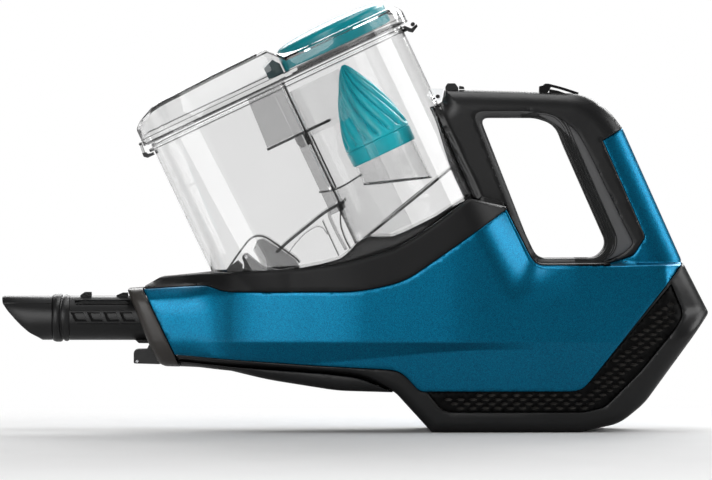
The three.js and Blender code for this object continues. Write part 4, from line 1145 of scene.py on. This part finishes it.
def cyclone_screen():
    """Upright sheet bent round the cyclone's axis, with a window for the air at its middle level."""
    turn = np.radians(SCREEN_ANGLES)
    columns, rows = len(turn), len(SCREEN_LEVELS)
    layers = [
        put(CYCLONE_AT + radius * np.cos(turn), radius * np.sin(turn), level)
        for radius in (SCREEN_OUTER, SCREEN_INNER) for level in SCREEN_LEVELS
    ]

    def filled(i, j):
        in_window = j == 1 and WINDOW_FROM_ANGLE <= SCREEN_ANGLES[i] < WINDOW_TO_ANGLE
        return 0 <= i < columns - 1 and 0 <= j < rows - 1 and not in_window

    def corner(i, j, layer):
        return (layer * rows + j) * columns + i

    faces = []
    for i, j in np.ndindex(columns - 1, rows - 1):
        if not filled(i, j):
            continue
        a, b, c, d = (i, j), (i + 1, j), (i + 1, j + 1), (i, j + 1)
        faces += [[corner(*p, layer) for p in (a, b, c, d)] for layer in (0, 1)]
        for beyond, start, end in (((i - 1, j), a, d), (b, b, c), ((i, j - 1), a, b), (d, d, c)):
            if not filled(*beyond):
                faces.append([corner(*start, 0), corner(*end, 0), corner(*end, 1), corner(*start, 1)])
    return np.concatenate(layers), faces


solid("cyclone_screen", cyclone_screen(), CLEAR_INNER, "bin", "cyclone_wall")

TUBE_SLANT = -0.342
TUBE_FRONT_AT = 125.6
TUBE_TOP = 20.7
TUBE_OUTER, TUBE_INNER = 22.6, 21.6
TUBE_BEAD, BEAD_THICK = 22.2, 0.75


def tube_foot(along, height=6.7):
    """Slanted foot of the outlet tube, which has a height at the tube's front."""
    return height + TUBE_SLANT * (along - TUBE_FRONT_AT)


rings = [
    round_ring(CYCLONE_AT, radius, lambda u: tube_foot(u) + (TUBE_TOP - tube_foot(u)) * share, 72)
    for radius, shares in ((TUBE_OUTER, (0, 0.06, 0.12, 1)), (TUBE_INNER, (1, 0.12, 0.06, 0)))
    for share in shares
]
solid("outlet_tube", loft(rings, closed=True), CLEAR_INNER, "bin", "vortex_tube")
rings = [
    round_ring(
        CYCLONE_AT, TUBE_BEAD + BEAD_THICK * math.cos(turn),
        lambda u: tube_foot(u, 6.2) + BEAD_THICK * math.sin(turn),
    )
    for turn in np.arange(8) * math.pi / 4
]
solid("outlet_tube_bead", loft(rings, closed=True), DARK_CLEAR, "bin")

RIB_FRONT = 92.6
RIB_HALF = 19
RIB_RADIUS = 46.3
rib_plan = [(RIB_FRONT, RIB_HALF), (RIB_FRONT, -RIB_HALF)]
for across in np.linspace(-RIB_HALF, RIB_HALF, 13):
    rib_plan.append((CYCLONE_AT - math.sqrt(RIB_RADIUS ** 2 - across ** 2), across))
rings = [put(*np.transpose(rib_plan), height) for height in (-2.0, 95.0)]
solid("duct_rib", loft(rings), SMOKE, "bin")

RAMP_PATH = [(47.2, -8.8), (55, -6.3), (74, -1.5), (92.6, 2.4), (105, 3.2)]
HOOD_HALF = 20.5
HOOD_FOOT = -31
HOOD_PATH = [(5.4, -36, 0), (5.8, -8.5, 4), (40.5, 11.5, 13), (58, -19.5, 3), (59.5, -32, 0)]
hood_line = [p for p in fillet(HOOD_PATH, 8) if p[1] > HOOD_FOOT]
# Thin bent walls of the bin: name, path, thickness, half width, material and the node replaced.
BENT_WALLS = [
    ("ramp", RAMP_PATH, 2.0, 46.2, DARK_CLEAR, "inlet_ramp"),
    ("ramp_rib_front", [(85.4, -3), (85.3, -15), (85.2, -29.6)], 0.7, 30, DARK_CLEAR),
    (
        "ramp_rib_middle", [(92.4, 1.6), (90.9, -4), (90.9, -12), (91.1, -19), (91.7, -28)], 2.2, 34,
        SMOKE,
    ),
    (
        "ramp_rib_rear", [(103, 2.4), (98.2, -4.8), (95.2, -13), (94.4, -22), (94.6, -28.4)], 1.0, 38,
        DARK_CLEAR,
    ),
    ("window_sill", [(91.5, 16.0), (99, 13.8), (106.7, 12.8), (122.8, 14.4)], 1.1, 17, DARK_CLEAR),
    (
        "ramp_chamber", [(52, -14.5), (62, -9), (72, -5.4), (79, -4.6), (83.4, -7.6), (84.4, -13)],
        0.7, 24, SMOKE,
    ),
    ("hood", hood_line, 1.3, HOOD_HALF, DARK_CLEAR, "inlet_hood"),
]
for name, path, thick, half, material, *replaced in BENT_WALLS:
    bin_plate(name, ribbon(path, thick), half, material, "bin", *replaced)

DUCT_PANEL = [(72, 59.6), (92.3, 59.6), (92.3, 95.5), (74, 95.5)]
bin_plate("duct_panel", DUCT_PANEL, 0.7, SMOKE, "bin")
SHELF_BRACKET = [(92, 57.2), (97.4, 57.2), (97.4, 49), (94, 49), (92, 53)]
bin_plate("shelf_bracket", SHELF_BRACKET, 17, SMOKE, "bin")
CHEEK = [(33, -0.6), (38, 4.0), (42.4, 3.2), (49, -6), (56.6, -19.4), (57, -30), (34, -14)]
for side, end in SIDES:
    bin_plate("hood_cheek" + end, CHEEK, 0.5, SMOKE, "bin", middle=side * (HOOD_HALF - 0.5))
INLET_LIP = [(19.4, -3), (21.0, -7.3), (19, -11), (8.6, -9.5), (9.7, -5.2)]
bin_plate("inlet_lip", INLET_LIP, HOOD_HALF - 2, DARK, "bin", slot="seal_rubber")
FLAP = fillet([
    (23.4, -2.4, 1.4), (25.2, -0.4, 1.4), (27.8, -1.2, 1.4), (30.8, -8.2, 1), (34, -14.2, 1),
    (44.6, -23, 1), (43.2, -24.8, 0.5), (30, -17, 2), (21.6, -9.8, 0.6), (23.2, -6.4, 1),
])
bin_plate("flap", FLAP, HOOD_HALF - 2.6, DARK, "flap", "inlet_flap", slot="seal_rubber")

# Dark seat at the foot of the bin: its top edge is seen through the wall.
SEAT_TOP = [
    (56, -25.2), (57.4, -25.4), (71.8, -29.2), (85.2, -31.6), (93.7, -29.9), (102.6, -25.5),
    (110.8, -26.4), (125, -33.1), (134.5, -33.7), (158, -33.2), (181.7, -29.9), (192, -28.6),
]

SEAT_FRONT = 57.0
SEAT_PROFILE = [
    (-2.4, lambda u: floor_at(u) + 1.4), (-2.0, lambda u: floor_at(u) + 2.2),
    (-2.0, lambda u: np.maximum(along_line(SEAT_TOP, u) - 0.8, floor_at(u) + 2.5)),
    (-2.8, lambda u: np.maximum(along_line(SEAT_TOP, u), floor_at(u) + 3.0)),
]
seat = plan_vessel(SEAT_PROFILE, SEAT_FRONT)
solid("outlet_seat", seat, GLOSS_BLACK, "bin", "outlet_seal", slot="seal_rubber")

CONE_BASE = 21.0
CONE_FINS = 15
CONE_TWIST = -1.1
FIN_DEPTH = 2.9
FIN_START, FIN_FULL = 12.5, 16.0
TWIST_START = 11
FIN_COLUMNS = 18
CONE_TOP = 68
GROOVE_FOOT, GROOVE_TOP, GROOVE_DEPTH = 10.6, 11.4, 0.7
CONE_PROFILE = [
    (0, 23.5), (3, 23.9), (12.8, 24.0), (17, 23.5), (22.7, 22.3), (33.6, 19.2), (45.4, 14.6),
    (56.3, 9.0), (65.5, 3.6), (68, 1.2),
]


def finned_cone():
    """Cone with twisted round-backed fins above a plain lipped ring."""
    columns = CONE_FINS * FIN_COLUMNS
    angles = np.arange(columns) * 2 * math.pi / columns
    from_back = np.abs(angles * CONE_FINS / (2 * math.pi) % 1.0 - 0.5) * 2
    round_back = (1 - from_back) ** 2.6
    levels = [0, 0.6, 1.4, 9.6, 10.4, 10.9, 11.6, *np.linspace(12.2, CONE_TOP, 56)]
    rings = []
    for height in levels:
        radius = float(spline(CONE_PROFILE, height)) * (0.985 if height == 0 else 1)
        if GROOVE_FOOT < height < GROOVE_TOP:
            radius -= GROOVE_DEPTH
        depth = FIN_DEPTH * smooth_step(height, FIN_START, FIN_FULL) * min(1.0, radius / 14.0)
        around = angles + CONE_TWIST * max(height - TWIST_START, 0) / (CONE_TOP - TWIST_START)
        r = radius - depth * round_back
        rings.append(put(CYCLONE_AT + r * np.cos(around), r * np.sin(around), CONE_BASE + height))
    return loft(rings)


solid("cone", finned_cone(), TURQUOISE, "bin", "vortex_cone")

# ---------- power slider and its arm ----------

THUMB = fillet([
    (15.2, 236.4, 0.4), (15.4, 240.6, 0.8), (18.0, 241.0, 0.6), (19.4, 242.4, 0.8), (22.6, 242.4, 0.8),
    (23.4, 239.6, 0.6), (21.2, 236.2, 0.4),
], 4)
ARM = ribbon([(22.6, 241.2), (30, 239.3), (37, 237.1), (42.6, 235.2)], 1.9)
WEDGE = fillet([(22.4, 235.8, 0.3), (22.4, 238.6, 0.5), (28.6, 237.4, 0.5), (33.6, 235.6, 0.3)], 3)
plate("slider_thumb", THUMB, 6.5, GLOSS_BLACK, "slider", "power_slider")
plate("slider_arm", ARM, 5.0, GLOSS_BLACK, "slider")
plate("slider_foot", WEDGE, 5.6, GLOSS_BLACK, "slider")

# ---------- crevice tool ----------

TOOL_RADIUS = 15.55
TOOL_BORE = 13.35
TUBE_FRONT = -313.0
RING_FRONT = -325.0
TOOL_TIP = -360.0
NOZZLE_TAPER = 0.35
TUBE_REAR = -245.0
WINDOW_FROM = -310.3
WINDOW_PITCH = 11.3
WINDOW_LONG = 8.6
SLOT_LOW, SLOT_HIGH = -2.1, 4.1
RAIL_LOW, RAIL_HIGH = 9.4, 12.6
RAIL_FROM, RAIL_TO = -309.0, -270.5
BEAD_LOW, BEAD_HIGH, BEAD_FROM = 5.3, 6.0, -312.0
GROOVE_LOW, GROOVE_HIGH, GROOVE_FROM = -3.9, -3.3, -307.0
STEP = 0.07
WINDOWS = 4
WINDOW_DEPTH, RAIL_DEPTH, BEAD_RISE, GROOVE_DROP = 1.9, 1.5, 0.35, 0.6
RING_GAP = 0.3


def tube_relief(x, up):
    """How far the tube's skin stands off its radius at x and a height above the axis."""
    if RAIL_LOW < up < RAIL_HIGH and RAIL_FROM < x < RAIL_TO:
        return -RAIL_DEPTH
    if BEAD_LOW < up < BEAD_HIGH and BEAD_FROM < x:
        return BEAD_RISE
    if GROOVE_LOW < up < GROOVE_HIGH and GROOVE_FROM < x:
        return -GROOVE_DROP
    if SLOT_LOW < up < SLOT_HIGH:
        place = (x - WINDOW_FROM) % WINDOW_PITCH
        if 0 < x - WINDOW_FROM < WINDOWS * WINDOW_PITCH and place < WINDOW_LONG:
            return -WINDOW_DEPTH
    return 0.0


def around_tube(x, radius, heights):
    """Ring about the tool's axis through the given heights, up one side and down the other."""
    rise = np.clip(heights / TOOL_RADIUS, -1, 1)
    x, across, up = np.broadcast_arrays(x, -radius * np.sqrt(1 - rise ** 2), TOOL_HEIGHT + radius * rise)
    return mirrored(np.stack([x, across, up], axis=1))


def tool_barrel():
    """Rings of the tube, with extra rows at every step of its skin, and of its bore."""
    heights = [TOOL_RADIUS * math.sin(math.radians(a)) for a in (-90, *range(-84, 85, 7), 90)]
    levels = (SLOT_LOW, SLOT_HIGH, RAIL_LOW, RAIL_HIGH, BEAD_LOW, BEAD_HIGH, GROOVE_LOW, GROOVE_HIGH)
    for edge in levels:
        heights += [edge - STEP, edge + STEP]
    heights = np.array(sorted(set(heights)))
    front = TUBE_FRONT + RING_GAP
    places = [front, TUBE_REAR, BEAD_FROM - 0.05, BEAD_FROM + 0.1]
    for edge in (RAIL_FROM, RAIL_TO, GROOVE_FROM):
        places += [edge - STEP, edge + STEP]
    for i in range(WINDOWS):
        start = WINDOW_FROM + i * WINDOW_PITCH
        for edge in (start, start + WINDOW_LONG):
            places += [edge - 0.08, edge + 0.08]
    within = (SLOT_LOW - 0.5 < heights) & (heights < SLOT_HIGH + 0.5)
    lean = np.where(within, 0.5 * (1.2 - np.clip(heights, SLOT_LOW, SLOT_HIGH)), 0)
    rings = []
    for x in sorted(places):
        radii = np.array([TOOL_RADIUS + tube_relief(x, up) for up in heights])
        fade = float(np.clip(min(x - front, TUBE_REAR - x), 0, 1))
        rings.append(around_tube(x + lean * fade, radii, heights))
    rings += [around_tube(x, TOOL_BORE, heights) for x in (TUBE_REAR, front)]
    return rings


solid("tool_barrel", loft(tool_barrel(), closed=True), BLACK, "tool", "tool_tube")

ROUND = np.array([TOOL_RADIUS * math.sin(math.radians(a)) for a in range(-90, 91, 5)])
BOW = 1.9 * np.abs(ROUND / TOOL_RADIUS) ** 3 - 0.7
# Places behind the ring's front, radii, and how far each row follows the bow.
RING_PROFILE = [
    (0.3, 15.5, 0), (0.8, 16.2, 0.3), (2.2, 16.8, 0.6), (4.6, 16.8, 0.8), (5.6, 16.5, 1.0),
    (6.2, 15.4, 1.0), (7.0, 15.3, 1.0), (7.5, 16.1, 1.0), (9.4, 16.4, 0.8), (10.8, 15.9, 0.4),
    (11.9, 15.7, 0), (11.9, TOOL_BORE, 0), (0.3, TOOL_BORE, 0),
]
rings = [
    around_tube(RING_FRONT + place + BOW * bow, radius, ROUND) for place, radius, bow in RING_PROFILE
]
solid("tool_collar", loft(rings, closed=True), BLACK, "tool", "tool_ring")


def tool_nozzle():
    """Tapered nozzle cut off on a slant, with a shallow groove under its top band."""
    heights = np.array(sorted([*ROUND, 10.0, 10.14, 10.6, 10.74, 12.4, 14.3]))
    cut_up = [-TOOL_RADIUS, -13.6, -10.5, -5.5, -0.6, 6.0, 11.6, 14.0, TOOL_RADIUS]
    cut_at = [-332.0, -335.0, -341.0, -346.4, -351.0, -356.2, -359.6, TOOL_TIP, TOOL_TIP]
    front = np.interp(heights, cut_up, cut_at)
    groove = np.where((heights > 10.1) & (heights < 10.65), -0.35, 0.0)
    rear = RING_FRONT - 0.1
    skin = TOOL_RADIUS - 0.1
    rings = [around_tube(front, skin - 0.5, heights)]
    for share in (0.04, 0.3, 0.6, 0.85, 1.0):
        rings.append(around_tube(front * (1 - share) + rear * share, skin + groove, heights))
    rings += [around_tube(x, TOOL_BORE + 0.2, heights) for x in (rear, front)]
    for ring in rings:
        reach = np.clip((RING_FRONT - ring[:, 0]) / (RING_FRONT - TOOL_TIP), 0, 1)
        ring[:, 1] *= 1 - NOZZLE_TAPER * reach
    return rings


solid("tool_nozzle", loft(tool_nozzle(), closed=True), BLACK, "tool", "tool_mouth")


def on_tube(side, x, radius, up):
    """Point at a height above the tool's axis, on a round skin of a radius about it."""
    return x, side * math.sqrt(radius ** 2 - up ** 2), TOOL_HEIGHT + up


# A black L along the lower left of each window, inside its recess, is painted shadow: a dark sheet where the
# recess lies in shade.
for i in range(WINDOWS):
    start = WINDOW_FROM + i * WINDOW_PITCH - 1.2
    shadow = [
        (start, 4.0), (start + 2.9, -2.0), (start + 10.2, -2.0), (start + 10.2, -0.9),
        (start + 4.6, -0.9), (start + 3.4, 0.4), (start + 2.0, 4.0),
    ]
    for side, end in SIDES:
        rings = [np.array([on_tube(side, x, radius, up) for x, up in shadow]) for radius in (13.5, 14.9)]
        solid("tool_window%s_%d" % (end, i), loft(rings), GRILLE_AND_SHADOW_BLACK, "tool")

top = TOOL_HEIGHT + TOOL_RADIUS
NUBS = {
    "tool_nub_front": [
        (-305.4, -1.2, 0), (-305.4, 0.4, 0.3), (-302.4, 2.5, 0.5), (-297.6, 2.5, 0.5), (-297.4, -1.2, 0),
    ],
    "tool_nub_rear": [
        (-280.2, -1.2, 0), (-280.2, 0.2, 0.3), (-275.8, 2.1, 0.6), (-272.0, 2.1, 0.3), (-272.0, -1.2, 0),
    ],
}
for name, outline in NUBS.items():
    outline = fillet([(x, top + z, radius) for x, z, radius in outline], 4)
    plate(name, outline, 4.0, GLOSS_BLACK, "tool")
for side, end in SIDES:
    rings = []
    for x, share in ((-308.4, 0.0), (-305.0, 1.0), (-273.4, 1.0), (-271.0, 0.35)):
        low = (RAIL_LOW + 0.5) / TOOL_RADIUS
        high = low + (0.4 + 1.9 * share) / TOOL_RADIUS
        corners = ((low, 13.9), (high, 13.9), (high, 15.3), (low, 15.3))
        rings.append(np.array([on_tube(side, x, radius, radius * rise) for rise, radius in corners]))
    solid("tool_rail" + end, loft(rings), GLOSS_BLACK, "tool")

PAD = fillet([(-266.9, 63.2, 0), (-264.6, 61.0, 0.8), (-257.9, 60.9, 0.3), (-257.9, 63.4, 0)], 4)
plate("tool_release_pad", PAD, 5.0, GLOSS_BLACK, "tool_button", "tool_release")
CONNECTOR = fillet([
    (-268.0, 46.9, 1.2), (-268.0, 55.4, 1.8), (-266.0, 56.8, 1.0), (-258.6, 57.0, 0.5),
    (-257.6, 59.6, 0.6), (-253.6, 60.0, 0), (-247.6, 47.2, 0), (-250.0, 46.4, 0.6),
], 5)
plate("connector_shell", CONNECTOR, 9.0, BLACK, "body", "connector_block")
PIN_AT = (-265.6, 48.4)
PIN_RADIUS = 0.95
turn = np.linspace(0, 2 * math.pi, 25)[:-1]
pin = [(PIN_AT[0] + PIN_RADIUS * math.cos(a), PIN_AT[1] + PIN_RADIUS * math.sin(a)) for a in turn]
plate("connector_pin", pin, 9.25, STEEL, "body")

# ---------- finishes of the pieces kept from the frame ----------

OWN_FINISH = {
    "duct_shelf": DARK_CLEAR, "cyclone_floor": DARK_CLEAR, "hinge_pin": BLACK, "latch_pin": BLACK,
}
for entry in frame["record"]["subparts"]:
    finish = OWN_FINISH.get(entry["node"], LOOKS[entry["material_slot"]][0])
    materials = nodes[entry["node"]].data.materials
    materials.clear()
    materials.append(finish)

# ---------- studio ----------


def floor_material():
    """Paper that keeps the object's shadow and goes over to plain white away from it."""
    material, tree, shader, where = new_material("studio_floor")
    path = add(tree, "LightPath", {}).outputs
    paper = noise(tree, where, 60.0, 3.0)

    def tone(grey):
        return ramp(tree, paper, (0.3, (grey,) * 3), (0.7, (grey + 0.02,) * 3))

    colours = {"Factor": path["Is Camera Ray"], 6: tone(0.42), 7: tone(0.78)}
    seen = add(tree, "Mix", colours, data_type="RGBA").outputs[2]
    feed(tree, shader, {"Base Color": seen, "Roughness": 0.9, "Specular IOR Level": 0.1})

    # Places are in metres. The white is for the eye and for sight through clear plastic.
    place = add(tree, "SeparateXYZ", {"Vector": where}).outputs

    def fade(axis, start, end, most=1.0):
        inputs = {"Value": place[axis], "From Min": start, "From Max": end, "To Max": most}
        return add(tree, "MapRange", inputs, interpolation_type="SMOOTHSTEP").outputs["Result"]

    def combine(operation, first, second):
        return add(tree, "Math", {0: first, 1: second}, operation=operation).outputs["Value"]

    away = combine("MAXIMUM", fade("Y", 0.10, 0.24), fade("Y", -0.20, -0.64, 0.9))
    through = combine("MULTIPLY", path["Is Transmission Ray"], fade("Z", 1.25, 0.75))
    sight = combine("MAXIMUM", path["Is Camera Ray"], through)
    share = combine("MULTIPLY", away, sight)
    white = add(tree, "Emission", {"Strength": 1.0}).outputs["Emission"]
    front_side = mix_shaders(tree, share, shader.outputs["BSDF"], white)
    # Seen from behind, the sweep lets the view through.
    behind = add(tree, "NewGeometry", {}).outputs["Backfacing"]
    clear = add(tree, "BsdfTransparent", {}).outputs["BSDF"]
    surface = mix_shaders(tree, behind, front_side, clear)
    feed(tree, tree.nodes["Material Output"], {"Surface": surface})
    return material


def make_floor():
    """Pale sweep: level under the object, falling gently in front and curving up behind it."""
    front, turn, radius, top, reach = -6500.0, 1400.0, 900.0, 3200.0, 4500.0
    level, bend, slope = 56.0, 50.0, 0.036

    def rise(y):
        over = max(abs(y) - level, 0.0)
        lift = slope * (over ** 2 / (2 * bend) if over < bend else over - bend / 2)
        return math.copysign(lift, y)

    profile = [(y, rise(y)) for y in (front, -2500.0, *range(-600, 601, 10), turn)]
    for angle in np.linspace(0, math.pi / 2, 25)[1:]:
        profile.append((turn + radius * math.sin(angle), rise(turn) + radius * (1 - math.cos(angle))))
    profile.append((turn + radius, top))
    vertices = [(x, y, z) for y, z in profile for x in (-reach, reach)]
    faces = [(k, k + 1, k + 3, k + 2) for k in range(0, len(vertices) - 2, 2)]
    make_object("studio_floor", vertices, faces, floor_material())


make_floor()
CENTRE = (-0.10, 0.0, 0.12)
# Area lights in metres and watts: name, place, target, width, height, power.
LIGHTS = [
    ("key_softbox", (-0.75, -1.75, 0.6), CENTRE, 0.9, 0.9, 11),
    ("top_softbox", (0.0, 0.0, 1.4), CENTRE, 1.2, 0.5, 7),
    ("back_softbox", (-0.05, 1.3, 0.95), CENTRE, 1.6, 0.7, 21),
    ("right_softbox", (1.5, -0.15, 0.75), CENTRE, 1.1, 0.9, 11),
    ("rear_softbox", (0.85, 1.05, 1.15), CENTRE, 0.6, 0.5, 9),
    ("floor_card", (-0.58, -0.85, 0.004), (-0.58, -0.85, 1.0), 0.42, 1.1, 3.5),
]
for name, place, target, width, height, power in LIGHTS:
    data = bpy.data.lights.new(name, "AREA")
    data.shape, data.size, data.size_y, data.energy = "RECTANGLE", width, height, power
    light = put_in_scene(name, data)
    light.location = place
    light.rotation_euler = (Vector(target) - Vector(place)).to_track_quat("-Z", "Y").to_euler()

world = bpy.data.worlds.new("studio_world")
bpy.context.scene.world = world
world.use_nodes = True
sky = world.node_tree
to_eye = add(sky, "LightPath", {}).outputs["Is Camera Ray"]
level = add(sky, "MapRange", {"Value": to_eye, "To Min": 0.14, "To Max": 1.0}).outputs["Result"]
feed(sky, sky.nodes["Background"], {"Color": (1, 1, 1, 1), "Strength": level})

VIEW_CENTRE = (-112.7, 133.0)
FIELD_WIDTH = 498.0
LENS = 400.0
SENSOR = 36.0
RAISED = 1.2
camera_data = bpy.data.cameras.new("camera")
camera_data.lens = LENS
camera_data.sensor_width = SENSOR
camera_data.clip_end = 20.0
camera = put_in_scene("camera", camera_data)
distance = FIELD_WIDTH / SENSOR * LENS * MM
tilt = math.radians(RAISED)
camera.location = (
    VIEW_CENTRE[0] * MM, -distance * math.cos(tilt), VIEW_CENTRE[1] * MM + distance * math.sin(tilt),
)
camera.rotation_euler = (math.pi / 2 - tilt, 0, 0)
bpy.context.scene.camera = camera
bpy.context.scene.view_settings.view_transform = "Standard"
